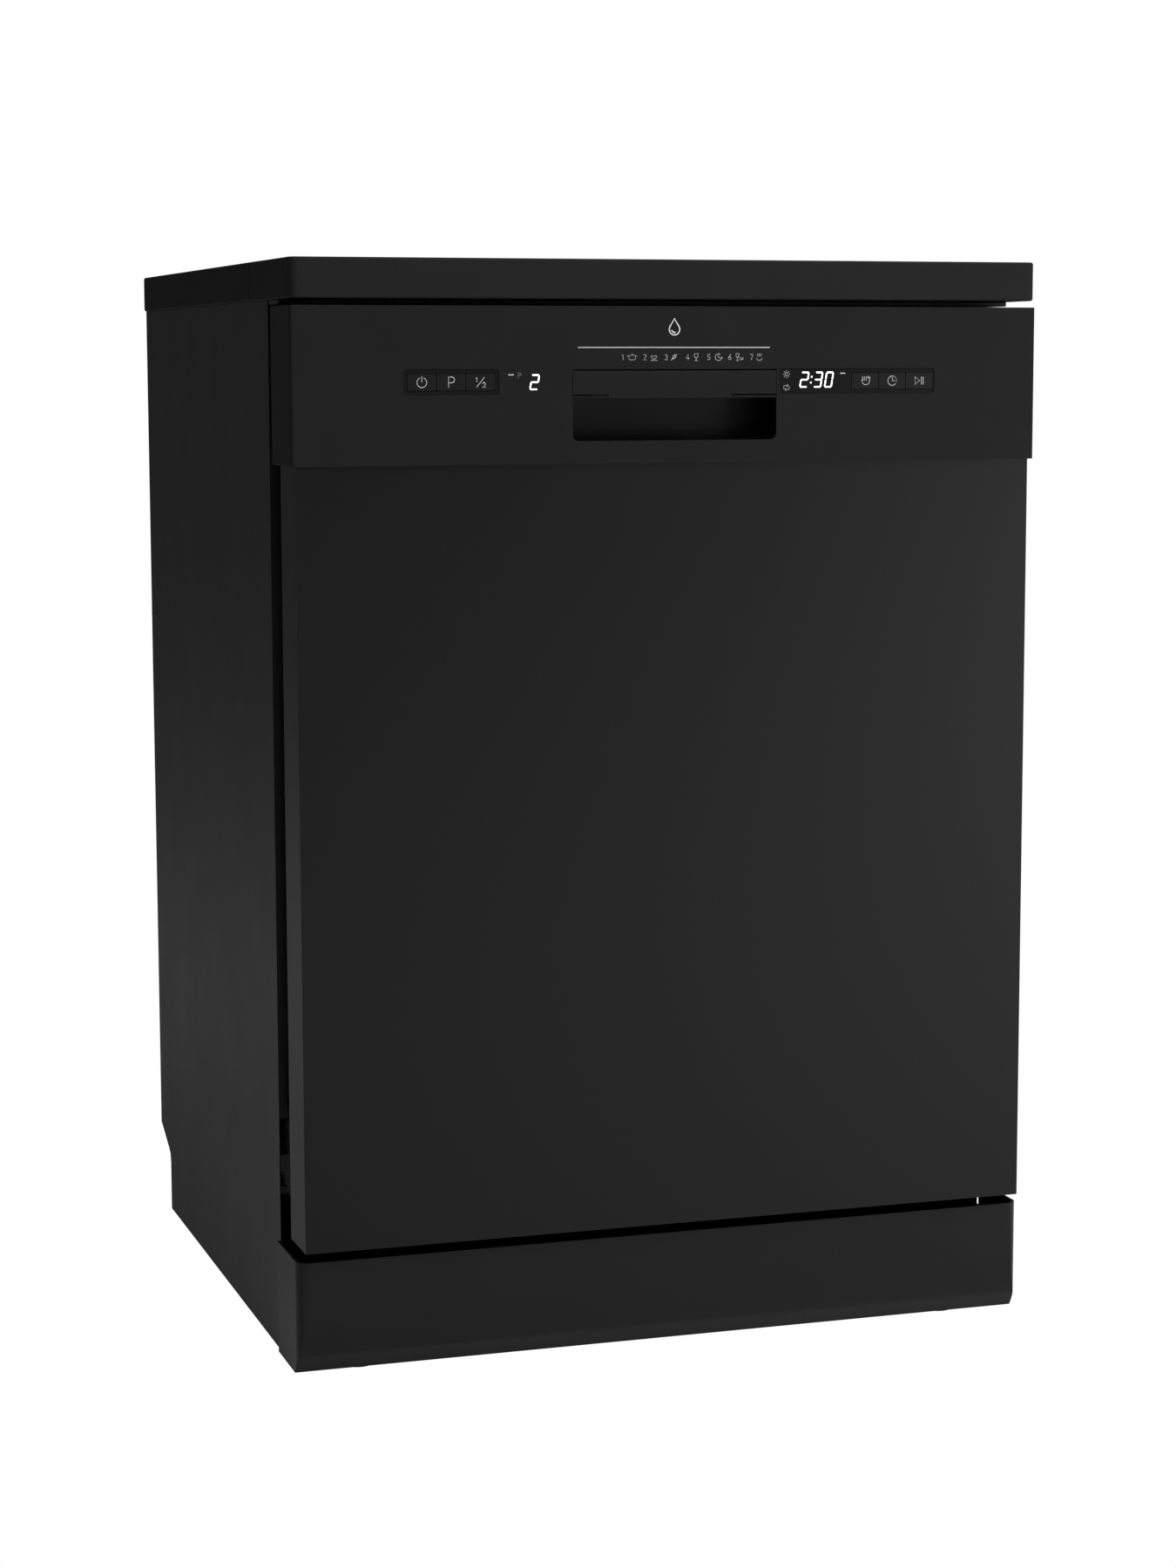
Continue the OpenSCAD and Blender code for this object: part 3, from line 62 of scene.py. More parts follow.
# ---------------------------------------------------------------------------
# Studio: a long lens in front and to the left of the machine, a white floor that glows brighter towards the
# right for all but the camera, a broad lamp overhead, a faint one at left and one low on the right.
scene = bpy.context.scene
scene.view_settings.view_transform = "Standard"
scene.view_settings.look = "None"

lens = bpy.data.cameras.new("camera")
lens.lens = 75.39
lens.sensor_width = 36.0
lens.clip_end = 50
camera = bpy.data.objects.new("camera", lens)
scene.collection.objects.link(camera)
camera_place = Vector((-829.5, -2672.4, 768.5)) * mm
camera_turn, camera_dip, camera_roll = -17.739, 7.216, -0.1275
camera.matrix_world = (Matrix.Translation(camera_place)
                       @ Matrix.Rotation(math.radians(camera_turn), 4, "Z")
                       @ Matrix.Rotation(math.radians(90 - camera_dip), 4, "X")
                       @ Matrix.Rotation(math.radians(camera_roll), 4, "Z"))
scene.camera = camera

world = bpy.data.worlds.new("studio")
scene.world = world
world.use_nodes = True
sky = world.node_tree
sky.nodes.clear()
sky_out = sky.nodes.new("ShaderNodeOutputWorld")
sky_mix = sky.nodes.new("ShaderNodeMixShader")
sky_seen = sky.nodes.new("ShaderNodeBackground")
sky_light = sky.nodes.new("ShaderNodeBackground")
sky_path = sky.nodes.new("ShaderNodeLightPath")
sky_seen.inputs["Color"].default_value = (1, 1, 1, 1)
sky_light.inputs["Color"].default_value = (0.95, 0.97, 1, 1)
sky_light.inputs["Strength"].default_value = 0.08
sky.links.new(sky_path.outputs["Is Camera Ray"], sky_mix.inputs["Fac"])
sky.links.new(sky_light.outputs[0], sky_mix.inputs[1])
sky.links.new(sky_seen.outputs[0], sky_mix.inputs[2])
sky.links.new(sky_mix.outputs[0], sky_out.inputs["Surface"])

floor_mesh = bpy.data.meshes.new("floor")
reach = 9.0
floor_mesh.from_pydata(
    [(-reach, -reach, 0), (reach, -reach, 0), (reach, reach, 0), (-reach, reach, 0)], [], [(0, 1, 2, 3)])
floor = bpy.data.objects.new("floor", floor_mesh)
scene.collection.objects.link(floor)
floor_paint = bpy.data.materials.new("floor_paint")
floor_paint.use_nodes = True
floor_tree = floor_paint.node_tree
floor_bsdf = floor_tree.nodes["Principled BSDF"]
floor_bsdf.inputs["Base Color"].default_value = (0.8, 0.8, 0.8, 1)
floor_bsdf.inputs["Roughness"].default_value = 0.9
floor_bsdf.inputs["Specular IOR Level"].default_value = 0.0
floor_bsdf.inputs["Emission Color"].default_value = (1, 1, 1, 1)
floor_white = floor_tree.nodes.new("ShaderNodeEmission")
floor_white.inputs["Strength"].default_value = 1.0
floor_seen = floor_tree.nodes.new("ShaderNodeMixShader")
floor_path = floor_tree.nodes.new("ShaderNodeLightPath")
floor_place = floor_tree.nodes.new("ShaderNodeTexCoord")
floor_split = floor_tree.nodes.new("ShaderNodeSeparateXYZ")
floor_rise = floor_tree.nodes.new("ShaderNodeMapRange")
floor_rise.inputs["From Min"].default_value = -0.4
floor_rise.inputs["From Max"].default_value = 2.2
floor_rise.inputs["To Max"].default_value = 1.2
floor_tree.links.new(floor_place.outputs["Object"], floor_split.inputs[0])
floor_tree.links.new(floor_split.outputs["X"], floor_rise.inputs["Value"])
floor_tree.links.new(floor_rise.outputs["Result"], floor_bsdf.inputs["Emission Strength"])
floor_tree.links.new(floor_path.outputs["Is Camera Ray"], floor_seen.inputs["Fac"])
floor_tree.links.new(floor_bsdf.outputs[0], floor_seen.inputs[1])
floor_tree.links.new(floor_white.outputs[0], floor_seen.inputs[2])
floor_tree.links.new(floor_seen.outputs[0], floor_tree.nodes["Material Output"].inputs["Surface"])
floor_mesh.materials.append(floor_paint)


def soft_box(name, place, aim, width, height, power):
    """A rectangular lamp at place, facing aim, with sizes in metres and power in watts."""
    lamp = bpy.data.lights.new(name, "AREA")
    lamp.shape = "RECTANGLE"
    lamp.size, lamp.size_y, lamp.energy = width, height, power
    lamp_object = bpy.data.objects.new(name, lamp)
    lamp_object.location = place
    lamp_object.rotation_mode = "QUATERNION"
    lamp_object.rotation_quaternion = (Vector(aim) - Vector(place)).to_track_quat("-Z", "Y")
    scene.collection.objects.link(lamp_object)


soft_box("overhead", (0.5, -2.0, 3.0), (0.2, -0.9, 0), 2.4, 2.0, 130)
soft_box("left_strip", (-2.9, 1.6, 1.3), (-0.3, 0, 0.6), 0.8, 1.4, 3)
soft_box("right_front", (2.9, -3.0, 0.4), (0.2, -0.3, 0.3), 1.8, 0.9, 40)

# ---------------------------------------------------------------------------
# Side panels and front posts: folded sheet steel under black powder coat,
# whose fine orange peel and uneven gloss show in the light from the left.


def node_group(name, inputs, outputs):
    """An empty shader group with its named sockets; inputs map a name to (kind, default)."""
    group = bpy.data.node_groups.new(name, "ShaderNodeTree")
    for label, (kind, value) in inputs.items():
        socket = group.interface.new_socket(label, in_out="INPUT", socket_type=kind)
        if value is not None:
            socket.default_value = value
    for label, kind in outputs.items():
        group.interface.new_socket(label, in_out="OUTPUT", socket_type=kind)
    return group, group.nodes.new("NodeGroupInput"), group.nodes.new("NodeGroupOutput")


def skin_group():
    """Mottled colour, uneven gloss and a fine grain, on the piece's own coordinates."""
    group, get, put = node_group(
        "moulded_skin",
        {"Colour": ("NodeSocketColor", (0.03, 0.03, 0.03, 1)),
         "Second colour": ("NodeSocketColor", (0.04, 0.04, 0.04, 1)),
         "Gloss": ("NodeSocketFloat", 0.4), "Gloss spread": ("NodeSocketFloat", 0.08),
         "Mottle scale": ("NodeSocketFloat", 30.0), "Grain scale": ("NodeSocketFloat", 2500.0),
         "Grain depth": ("NodeSocketFloat", 0.1), "Stretch": ("NodeSocketVector", (1, 1, 1))},
        {"Colour": "NodeSocketColor", "Roughness": "NodeSocketFloat", "Normal": "NodeSocketVector"})
    new, link = group.nodes.new, group.links.new
    where = new("ShaderNodeTexCoord")
    scaled = new("ShaderNodeVectorMath")
    scaled.operation = "MULTIPLY"
    link(where.outputs["Object"], scaled.inputs[0])
    link(get.outputs["Stretch"], scaled.inputs[1])
    mottle = new("ShaderNodeTexNoise")
    mottle.inputs["Detail"].default_value = 4
    link(scaled.outputs[0], mottle.inputs["Vector"])
    link(get.outputs["Mottle scale"], mottle.inputs["Scale"])
    grain = new("ShaderNodeTexNoise")
    grain.inputs["Detail"].default_value = 2
    link(scaled.outputs[0], grain.inputs["Vector"])
    link(get.outputs["Grain scale"], grain.inputs["Scale"])
    blend = new("ShaderNodeMix")
    blend.data_type = "RGBA"
    link(mottle.outputs["Fac"], blend.inputs["Factor"])
    link(get.outputs["Colour"], blend.inputs["A"])
    link(get.outputs["Second colour"], blend.inputs["B"])
    centred = new("ShaderNodeMath")
    centred.operation = "SUBTRACT"
    link(mottle.outputs["Fac"], centred.inputs[0])
    centred.inputs[1].default_value = 0.5
    gloss = new("ShaderNodeMath")
    gloss.operation = "MULTIPLY_ADD"
    link(centred.outputs[0], gloss.inputs[0])
    link(get.outputs["Gloss spread"], gloss.inputs[1])
    link(get.outputs["Gloss"], gloss.inputs[2])
    bump = new("ShaderNodeBump")
    bump.inputs["Distance"].default_value = 0.0002
    link(get.outputs["Grain depth"], bump.inputs["Strength"])
    link(grain.outputs["Fac"], bump.inputs["Height"])
    link(blend.outputs["Result"], put.inputs["Colour"])
    link(gloss.outputs[0], put.inputs["Roughness"])
    link(bump.outputs["Normal"], put.inputs["Normal"])
    return group


moulded_skin = skin_group()


def finish(name, colour, second=None, gloss=0.4, spread=0.08, mottle=30, grain=2500, depth=0.1,
           stretch=(1, 1, 1), metal=0.0, specular=0.5, coat=0.0):
    """A material whose colour, gloss and grain come from the shared skin group."""
    made = bpy.data.materials.new(name)
    made.use_nodes = True
    tree = made.node_tree
    bsdf = tree.nodes["Principled BSDF"]
    skin = tree.nodes.new("ShaderNodeGroup")
    skin.node_tree = moulded_skin
    skin.inputs["Colour"].default_value = (*colour, 1)
    skin.inputs["Second colour"].default_value = (*(second or [c * 1.25 for c in colour]), 1)
    skin.inputs["Gloss"].default_value = gloss
    skin.inputs["Gloss spread"].default_value = spread
    skin.inputs["Mottle scale"].default_value = mottle
    skin.inputs["Grain scale"].default_value = grain
    skin.inputs["Grain depth"].default_value = depth
    skin.inputs["Stretch"].default_value = stretch
    bsdf.inputs["Metallic"].default_value = metal
    bsdf.inputs["Specular IOR Level"].default_value = specular
    bsdf.inputs["Coat Weight"].default_value = coat
    for output, socket in (("Colour", "Base Color"), ("Roughness", "Roughness"), ("Normal", "Normal")):
        tree.links.new(skin.outputs[output], bsdf.inputs[socket])
    return made


def placed(mesh, name, body, material, slot, *stands_for):
    """A finished mesh becomes a piece that rides on a body and may stand for CAD nodes."""
    piece = bpy.data.objects.new(name, mesh)
    scene.collection.objects.link(piece)
    mesh.materials.clear()
    mesh.materials.append(material)
    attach(piece, body)
    if stands_for:
        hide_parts(*stands_for)
    return piece


def applied(piece):
    """The mesh of a piece with its modifiers made real; the piece itself is thrown away."""
    bpy.context.view_layer.update()
    graph = bpy.context.evaluated_depsgraph_get()
    mesh = bpy.data.meshes.new_from_object(piece.evaluated_get(graph), depsgraph=graph)
    bpy.data.objects.remove(piece)
    return mesh


def islands(shape):
    """The separate solids of a bmesh, as lists of vertices."""
    waiting = set(shape.verts)
    while waiting:
        found = [waiting.pop()]
        for vertex in found:
            for edge in vertex.link_edges:
                other = edge.other_vert(vertex)
                if other in waiting:
                    waiting.remove(other)
                    found.append(other)
        yield found


def rolled_mesh(node, radius, segments=2, keep=None):
    """The node's shape, edges rolled to a radius in millimetres; keep(low, high) picks its solids."""
    shape = bmesh.new()
    shape.from_mesh(nodes[node].data)
    bmesh.ops.remove_doubles(shape, verts=shape.verts, dist=2e-6)
    if keep:
        for part in list(islands(shape)):
            low = [min(v.co[i] for v in part) / mm for i in range(3)]
            high = [max(v.co[i] for v in part) / mm for i in range(3)]
            if not keep(low, high):
                bmesh.ops.delete(shape, geom=part, context="VERTS")
    bmesh.ops.dissolve_limit(shape, angle_limit=math.radians(0.6), verts=shape.verts, edges=shape.edges)
    mesh = bpy.data.meshes.new(node)
    shape.to_mesh(mesh)
    shape.free()
    mesh.shade_smooth()
    draft = bpy.data.objects.new("draft", mesh)
    scene.collection.objects.link(draft)
    bevel = draft.modifiers.new("roll", "BEVEL")
    bevel.width = radius * mm
    bevel.segments = segments
    bevel.limit_method = "ANGLE"
    bevel.angle_limit = math.radians(35)
    even = draft.modifiers.new("even", "WEIGHTED_NORMAL")
    even.keep_sharp = True
    return applied(draft)


def rolled(node, radius, material, slot, segments=2):
    """A piece that is the node's own shape with its sharp edges rolled."""
    mesh = rolled_mesh(node, radius, segments)
    return placed(mesh, node + "_shell", nodes[node]["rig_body"], material, slot, node)


powder_coat = finish("powder_coat", (0.0052, 0.0052, 0.0054), gloss=0.46, mottle=14, grain=1500,
                     depth=0.12, specular=0.22)
rolled("left_side_panel", 0.3, powder_coat, "cabinet_paint")
rolled("right_side_panel", 0.3, powder_coat, "cabinet_paint")
rolled("front_frame", 0.6, powder_coat, "cabinet_paint")

# ---------------------------------------------------------------------------
# Worktop: a laminated board with a matt film, edged at the front and the ends by moulded trims whose corners
# are rolled over about 2 mm; the board's top is painted darker than the trims, as painted shade.
# The board's material is the trims' film painted over ten times darker: painted shade on the top face under
# the overhead lamp.
worktop_top_painted_shade = finish("worktop_top_painted_shade", (0.0008, 0.0008, 0.0008), gloss=0.5, mottle=22, grain=1800,
                     depth=0.1, specular=0.02)
worktop_film = finish("worktop_film", (0.0102, 0.0102, 0.0104), gloss=0.5, mottle=22, grain=1800,
                      depth=0.1, specular=0.04)
rolled("worktop_board", 0.3, worktop_top_painted_shade, "worktop")
rolled("worktop_front_trim", 1.8, worktop_film, "worktop_edge", 4)
rolled("worktop_edge_trims", 1.8, worktop_film, "worktop_edge", 4)

# ---------------------------------------------------------------------------
# Base: the kick plate is a satin moulding in front of the base tray, which is
# a rougher moulding that also carries the rear feet and the cable's gland.
plinth_moulding = finish("plinth_moulding", (0.0078, 0.0078, 0.008), gloss=0.36, mottle=16, grain=2600,
                         depth=0.08, specular=0.1)
base_moulding = finish("base_moulding", (0.01, 0.01, 0.0102), gloss=0.6, mottle=25, grain=1400,
                       depth=0.25, specular=0.15)
rolled("kick_plate", 1.2, plinth_moulding, "black_plastic", 3)
rolled("base_tray", 0.6, base_moulding, "base_plastic")
rolled("rear_feet", 1.2, base_moulding, "base_plastic")
rolled("mains_gland", 0.8, base_moulding, "base_plastic")

# ---------------------------------------------------------------------------
# Control panel: one moulding with a fine spark-eroded grain and a glossier window by each group of keys; the
# cup behind the handle's lever is painted darker, as painted shade in that recess.
panel_moulding = finish("panel_moulding", (0.0084, 0.0084, 0.0086), gloss=0.42, mottle=18, grain=3200,
                        depth=0.06, specular=0.05)
# The handle cup's colour is painted shade: the panel's black plastic made five times darker for the recess.
recess_painted_shade = finish("recess_painted_shade", (0.0016, 0.0016, 0.0016), gloss=0.4, mottle=20, grain=2600,
                         depth=0.1, specular=0.15)
smoked_window = finish("smoked_window", (0.006, 0.006, 0.0062), gloss=0.2, spread=0.02, mottle=10,
                       depth=0.0, specular=0.12)
key_cap = finish("key_cap", (0.0065, 0.0065, 0.0067), gloss=0.34, mottle=40, grain=3200,
                 depth=0.06, specular=0.1)
board_green = finish("board_green", (0.006, 0.06, 0.02), gloss=0.3, mottle=90, grain=900, depth=0.3)
rolled("console_panel", 0.9, panel_moulding, "black_plastic", 3)
rolled("handle_cup", 0.8, recess_painted_shade, "black_plastic")
rolled("handle_lever", 0.7, panel_moulding, "black_plastic", 3)
rolled("display_windows", 0.3, smoked_window, "window")
rolled("control_board", 0.2, board_green, "circuit_board", 1)
for key in ("power_key", "program_key", "half_load_key", "dry_key", "delay_key", "start_key"):
    rolled(key, 0.35, key_cap, "key_plastic")

# ---------------------------------------------------------------------------
# Door skin: a coil-coated sheet, smoother than the sides, with a soft sheen
# that fades across it.
door_coat = finish("door_coat", (0.0005, 0.0005, 0.00055), gloss=0.38, spread=0.05, mottle=6, grain=3000,
                   depth=0.04, specular=0.2)
rolled("door_outer_panel", 0.35, door_coat, "door_paint")

# ---------------------------------------------------------------------------
# Bare steel: the tub and inner door are deep-drawn stainless steel with a
# brushed grain, and the back sheet and the fittings are galvanised.
stainless = finish("stainless", (0.5, 0.51, 0.52), (0.58, 0.59, 0.6), gloss=0.32, spread=0.1, mottle=40,
                   grain=900, depth=0.06, stretch=(1, 1, 0.03), metal=1.0)
galvanised = finish("galvanised", (0.36, 0.37, 0.38), (0.5, 0.51, 0.52), gloss=0.45, spread=0.25, mottle=120,
                    grain=1500, depth=0.1, metal=1.0)
rolled("tub", 1.2, stainless, "stainless")
rolled("door_liner", 2.6, stainless, "stainless", 4)
rolled("filter_plate", 0.3, stainless, "stainless", 1)
rolled("rear_panel", 0.3, galvanised, "zinc_steel")
for fitting in ("hinge_brackets", "hinge_arms", "latch_striker", "latch_hook", "roller_mounts"):
    rolled(fitting, 0.4, galvanised, "zinc_steel")

# ---------------------------------------------------------------------------
# Wash system, dispenser and wheels: grey, white and blue mouldings, each with
# the fine grain and rolled edges that moulds leave.
grey_moulding = finish("grey_moulding", (0.07, 0.074, 0.08), gloss=0.45, mottle=40, grain=1800, depth=0.12)
white_moulding = finish("white_moulding", (0.68, 0.68, 0.65), gloss=0.42, mottle=40, grain=1800, depth=0.1)
dispenser_moulding = finish("dispenser_moulding", (0.4, 0.41, 0.43), gloss=0.28, mottle=30, depth=0.05)
blue_cap = finish("blue_cap", (0.015, 0.06, 0.22), gloss=0.3, mottle=30, depth=0.05)
basket_moulding = finish("basket_moulding", (0.14, 0.15, 0.165), gloss=0.42, mottle=50, grain=2000, depth=0.1)
for moulding in ("sump", "filter_cup", "feed_tube", "wash_pump", "drain_pump", "drain_outlet"):
    rolled(moulding, 0.8, grey_moulding, "grey_plastic")
for moulding in ("water_softener", "salt_cap", "inlet_valve"):
    rolled(moulding, 1.0, white_moulding, "white_plastic")
rolled("dispenser_body", 1.2, dispenser_moulding, "dispenser_plastic", 3)
rolled("dispenser_lid", 0.6, dispenser_moulding, "dispenser_plastic")
rolled("rinse_cap", 0.8, blue_cap, "cap_blue", 3)
for wheel in ("lower_wheels_front", "lower_wheels_rear", "upper_rollers_front", "upper_rollers_rear"):
    rolled(wheel, 0.8, basket_moulding, "basket_plastic")
rolled("cutlery_basket", 0.5, basket_moulding, "basket_plastic", 1)

# ---------------------------------------------------------------------------
# Baskets: bent steel wire under grey nylon, U-shaped both ways below a thicker
# rim, with rows of tines. The upper one hangs from steel rails on moulded clips.
nylon = finish("nylon_coat", (0.11, 0.12, 0.135), gloss=0.34, mottle=60, grain=1200, depth=0.1, coat=0.2)


def wire_tree():
    """Lines in, round bars out: bent corners, rounded ends, one material."""
    tree = bpy.data.node_groups.new("bent_wire", "GeometryNodeTree")
    inputs = {"Lines": "NodeSocketGeometry", "Radius": "NodeSocketFloat", "Bend": "NodeSocketFloat",
              "Sides": "NodeSocketInt", "Finish": "NodeSocketMaterial"}
    for label, kind in inputs.items():
        tree.interface.new_socket(label, in_out="INPUT", socket_type=kind)
    tree.interface.new_socket("Wire", in_out="OUTPUT", socket_type="NodeSocketGeometry")
    new, link = tree.nodes.new, tree.links.new
    get = new("NodeGroupInput")
    put = new("NodeGroupOutput")
    paths = new("GeometryNodeMeshToCurve")
    bend = new("GeometryNodeFilletCurve")
    ring = new("GeometryNodeCurvePrimitiveCircle")
    sweep = new("GeometryNodeCurveToMesh")
    ends = new("GeometryNodeCurveEndpointSelection")
    dots = new("GeometryNodeInstanceOnPoints")
    ball = new("GeometryNodeMeshUVSphere")
    both = new("GeometryNodeJoinGeometry")
    real = new("GeometryNodeRealizeInstances")
    smooth = new("GeometryNodeSetShadeSmooth")
    paint = new("GeometryNodeSetMaterial")
    bend.mode = "POLY"
    bend.inputs["Count"].default_value = 4
    bend.inputs["Limit Radius"].default_value = True
    sweep.inputs["Fill Caps"].default_value = True
    ball.inputs["Rings"].default_value = 6
    link(get.outputs["Lines"], paths.inputs["Mesh"])
    link(paths.outputs["Curve"], bend.inputs["Curve"])
    link(get.outputs["Bend"], bend.inputs["Radius"])
    link(get.outputs["Sides"], ring.inputs["Resolution"])
    link(get.outputs["Radius"], ring.inputs["Radius"])
    link(bend.outputs["Curve"], sweep.inputs["Curve"])
    link(ring.outputs["Curve"], sweep.inputs["Profile Curve"])
    link(get.outputs["Sides"], ball.inputs["Segments"])
    link(get.outputs["Radius"], ball.inputs["Radius"])
    link(bend.outputs["Curve"], dots.inputs["Points"])
    link(ends.outputs["Selection"], dots.inputs["Selection"])
    link(ball.outputs["Mesh"], dots.inputs["Instance"])
    link(sweep.outputs["Mesh"], both.inputs["Geometry"])
    link(dots.outputs["Instances"], both.inputs["Geometry"])
    link(both.outputs["Geometry"], real.inputs["Geometry"])
    link(real.outputs["Geometry"], smooth.inputs["Geometry"])
    link(smooth.outputs["Geometry"], paint.inputs["Geometry"])
    link(get.outputs["Finish"], paint.inputs["Material"])
    link(paint.outputs["Geometry"], put.inputs["Wire"])
    return tree


bent_wire = wire_tree()


def swept(paths, radius, material, bend=0.0, sides=8):
    """Round bars along paths of points in millimetres; a path that ends where it starts is a loop."""
    points, edges = [], []
    for path in paths:
        first, closed = len(points), tuple(path[0]) == tuple(path[-1])
        points += path[:-1] if closed else path
        edges += [(i, i + 1) for i in range(first, len(points) - 1)]
        if closed:
            edges.append((len(points) - 1, first))
    lines = bpy.data.meshes.new("lines")
    lines.from_pydata([Vector(p) * mm for p in points], edges, [])
    draft = bpy.data.objects.new("draft", lines)
    scene.collection.objects.link(draft)
    sweep = draft.modifiers.new("sweep", "NODES")
    sweep.node_group = bent_wire
    settings = {"Radius": radius * mm, "Bend": bend * mm, "Sides": sides, "Finish": material}
    for socket in bent_wire.interface.items_tree:
        if socket.in_out == "INPUT" and socket.name in settings:
            sweep[socket.identifier] = settings[socket.name]
    return applied(draft)


def joined(*meshes):
    """Several meshes as one."""
    shape = bmesh.new()
    for mesh in meshes:
        shape.from_mesh(mesh)
    whole = bpy.data.meshes.new("whole")
    shape.to_mesh(whole)
    shape.free()
    return whole


def level_loop(x0, x1, y0, y1, z):
    """A rectangle of points in a level plane that ends where it starts."""
    return [(x0, y0, z), (x1, y0, z), (x1, y1, z), (x0, y1, z), (x0, y0, z)]


def even_steps(a, b, pitch):
    """Even steps from a to b, both included, near a pitch."""
    count = max(1, round((b - a) / pitch))
    return [a + (b - a) * i / count for i in range(count + 1)]


wire_r, rim_r, wire_pitch = 1.8, 2.3, 40
corner_room, wire_lap = 18, 3
ring_pitch, first_ring, last_ring = 38, 30, 38
basket_x, basket_y0, basket_y1 = 246.8, -204.0, 242.8


def wire_basket(z0, z1):
    """U-shaped wires both ways, rings round the sides inside them, and a rim."""
    out_x, y0, y1 = basket_x - rim_r, basket_y0 + rim_r, basket_y1 - rim_r
    low, top = z0 + wire_r, z1 - rim_r
    across = [[(-out_x, y, top), (-out_x, y, low), (out_x, y, low), (out_x, y, top)]
              for y in even_steps(y0 + corner_room, y1 - corner_room, wire_pitch)]
    along = [[(x, y0, top), (x, y0, low + wire_lap), (x, y1, low + wire_lap), (x, y1, top)]
             for x in even_steps(-out_x + corner_room, out_x - corner_room, wire_pitch)]
    rings = [level_loop(-out_x + wire_lap, out_x - wire_lap, y0 + wire_lap, y1 - wire_lap, z)
             for z in even_steps(z0 + first_ring, z1 - last_ring, ring_pitch)]
    rim = level_loop(-out_x, out_x, y0, y1, top)
    return [swept(across + along, wire_r, nylon, 12), swept(rings, wire_r, nylon, 18),
            swept([rim], rim_r, nylon, 20)]


tine_pitch, tine_side, tine_foot, lower_tine_h, upper_tine_h = 32, 2, 6.5, 72, 51


def tines(rows, x0, x1, z0, z1):
    """Rows of upright tines, each row on a cross wire beside the basket's own."""
    bars = [[(x0, y + tine_side, z0), (x1, y + tine_side, z0)] for y in rows]
    teeth = [[(x + tine_side, y + tine_side, z0), (x + tine_side, y + tine_side, z1)]
             for y in rows for x in range(x0, x1, tine_pitch)]
    return swept(bars + teeth, wire_r, nylon)


lower_z, lower_rim_z, upper_z, upper_rim_z = 250.0, 395, 490.0, 620
lower_rows, upper_rows = (-150, -95, -40, 15, 70, 125, 180), (-120, -50, 20, 90, 160)
lower_tines = tines(lower_rows, -240, 144, lower_z + tine_foot, lower_z + lower_tine_h)
upper_tines = tines(upper_rows, -58, 134, upper_z + tine_foot, upper_z + upper_tine_h)
lower_wires = joined(*wire_basket(lower_z, lower_rim_z), lower_tines)
upper_wires = joined(*wire_basket(upper_z, upper_rim_z), upper_tines)
rail_x = 248


def is_wheel_fork(low, high):
    """The lower basket's moulded forks hang below its wires."""
    return high[2] < lower_z


def is_rail(low, high):
    """The upper basket's steel rails stand outside its wires."""
    return high[0] > rail_x or low[0] < -rail_x


def is_upper_moulding(low, high):
    """The upper basket's mouldings hang below its wires, or are small clips."""
    width, depth, height = [b - a for a, b in zip(low, high)]
    return high[2] < upper_z or width < 25 and depth < 12 and height < 20


lower_forks = rolled_mesh("lower_basket", 0.6, keep=is_wheel_fork)
upper_rails = rolled_mesh("upper_basket", 0.3, keep=is_rail)
upper_mouldings = rolled_mesh("upper_basket", 0.8, keep=is_upper_moulding)
placed(lower_wires, "lower_basket_wire", "lower_basket", nylon, "basket_wire", "lower_basket")
placed(lower_forks, "lower_basket_forks", "lower_basket", basket_moulding, "basket_plastic")
placed(upper_wires, "upper_basket_wire", "upper_basket", nylon, "basket_wire", "upper_basket")
placed(upper_rails, "upper_basket_rails", "upper_basket", stainless, "basket_wire")
placed(upper_mouldings, "upper_basket_mouldings", "upper_basket", basket_moulding, "basket_plastic")

# ---------------------------------------------------------------------------
# Cup shelves: thin coated wires across a frame, welded to a thicker rod that
# turns in clips at the side of the upper basket.
rod_x, rod_r, rod_front, rod_back = 233.8, 3.8, -152, 190.8
edge_x, shelf_z, shelf_front, shelf_back = 139.6, 574.0, -142.2, 181.0
shelf_wire_r, shelf_bend, shelf_pitch, shelf_margin = 1.7, 10, 29, 15
for side, name in ((-1, "left"), (1, "right")):
    grid = [[(side * rod_x, y, shelf_z), (side * edge_x, y, shelf_z)]
            for y in even_steps(shelf_front + shelf_margin, shelf_back - shelf_margin, shelf_pitch)]
    frame_corners = ((rod_x, shelf_front), (edge_x, shelf_front), (edge_x, shelf_back), (rod_x, shelf_back))
    grid.append([(side * x, y, shelf_z) for x, y in frame_corners])
    rod = [(side * rod_x, rod_front, shelf_z), (side * rod_x, rod_back, shelf_z)]
    shelf = joined(swept(grid, shelf_wire_r, nylon, shelf_bend), swept([rod], rod_r, nylon, sides=14))
    placed(shelf, "cup_shelf_wire_" + name, "cup_shelf_" + name, nylon, "basket_wire", "cup_shelf_" + name)

# ---------------------------------------------------------------------------
# Seal: two round rubber bulbs, one before the other, that run up one side of
# the tub's mouth, over it and down. The rear one is the base, and the door
# squeezes the front one.
rubber = finish("rubber", (0.008, 0.008, 0.008), gloss=0.55, mottle=60, grain=1500, depth=0.2, specular=0.15)
seal_x, seal_low, seal_high, seal_bend = 277, 206, 798, 9
for name, seal_y, seal_r in (("seal_base", -232.6, 4.4), ("seal_bulb", -240.6, 4.2)):
    arch = [(-seal_x, seal_y, seal_low), (-seal_x, seal_y, seal_high),
            (seal_x, seal_y, seal_high), (seal_x, seal_y, seal_low)]
    stands_for = ["tub_gasket"] if name == "seal_base" else []
    bulb = swept([arch], seal_r, rubber, seal_bend, 14)
    placed(bulb, name, "cabinet", rubber, "seal_rubber", *stands_for)

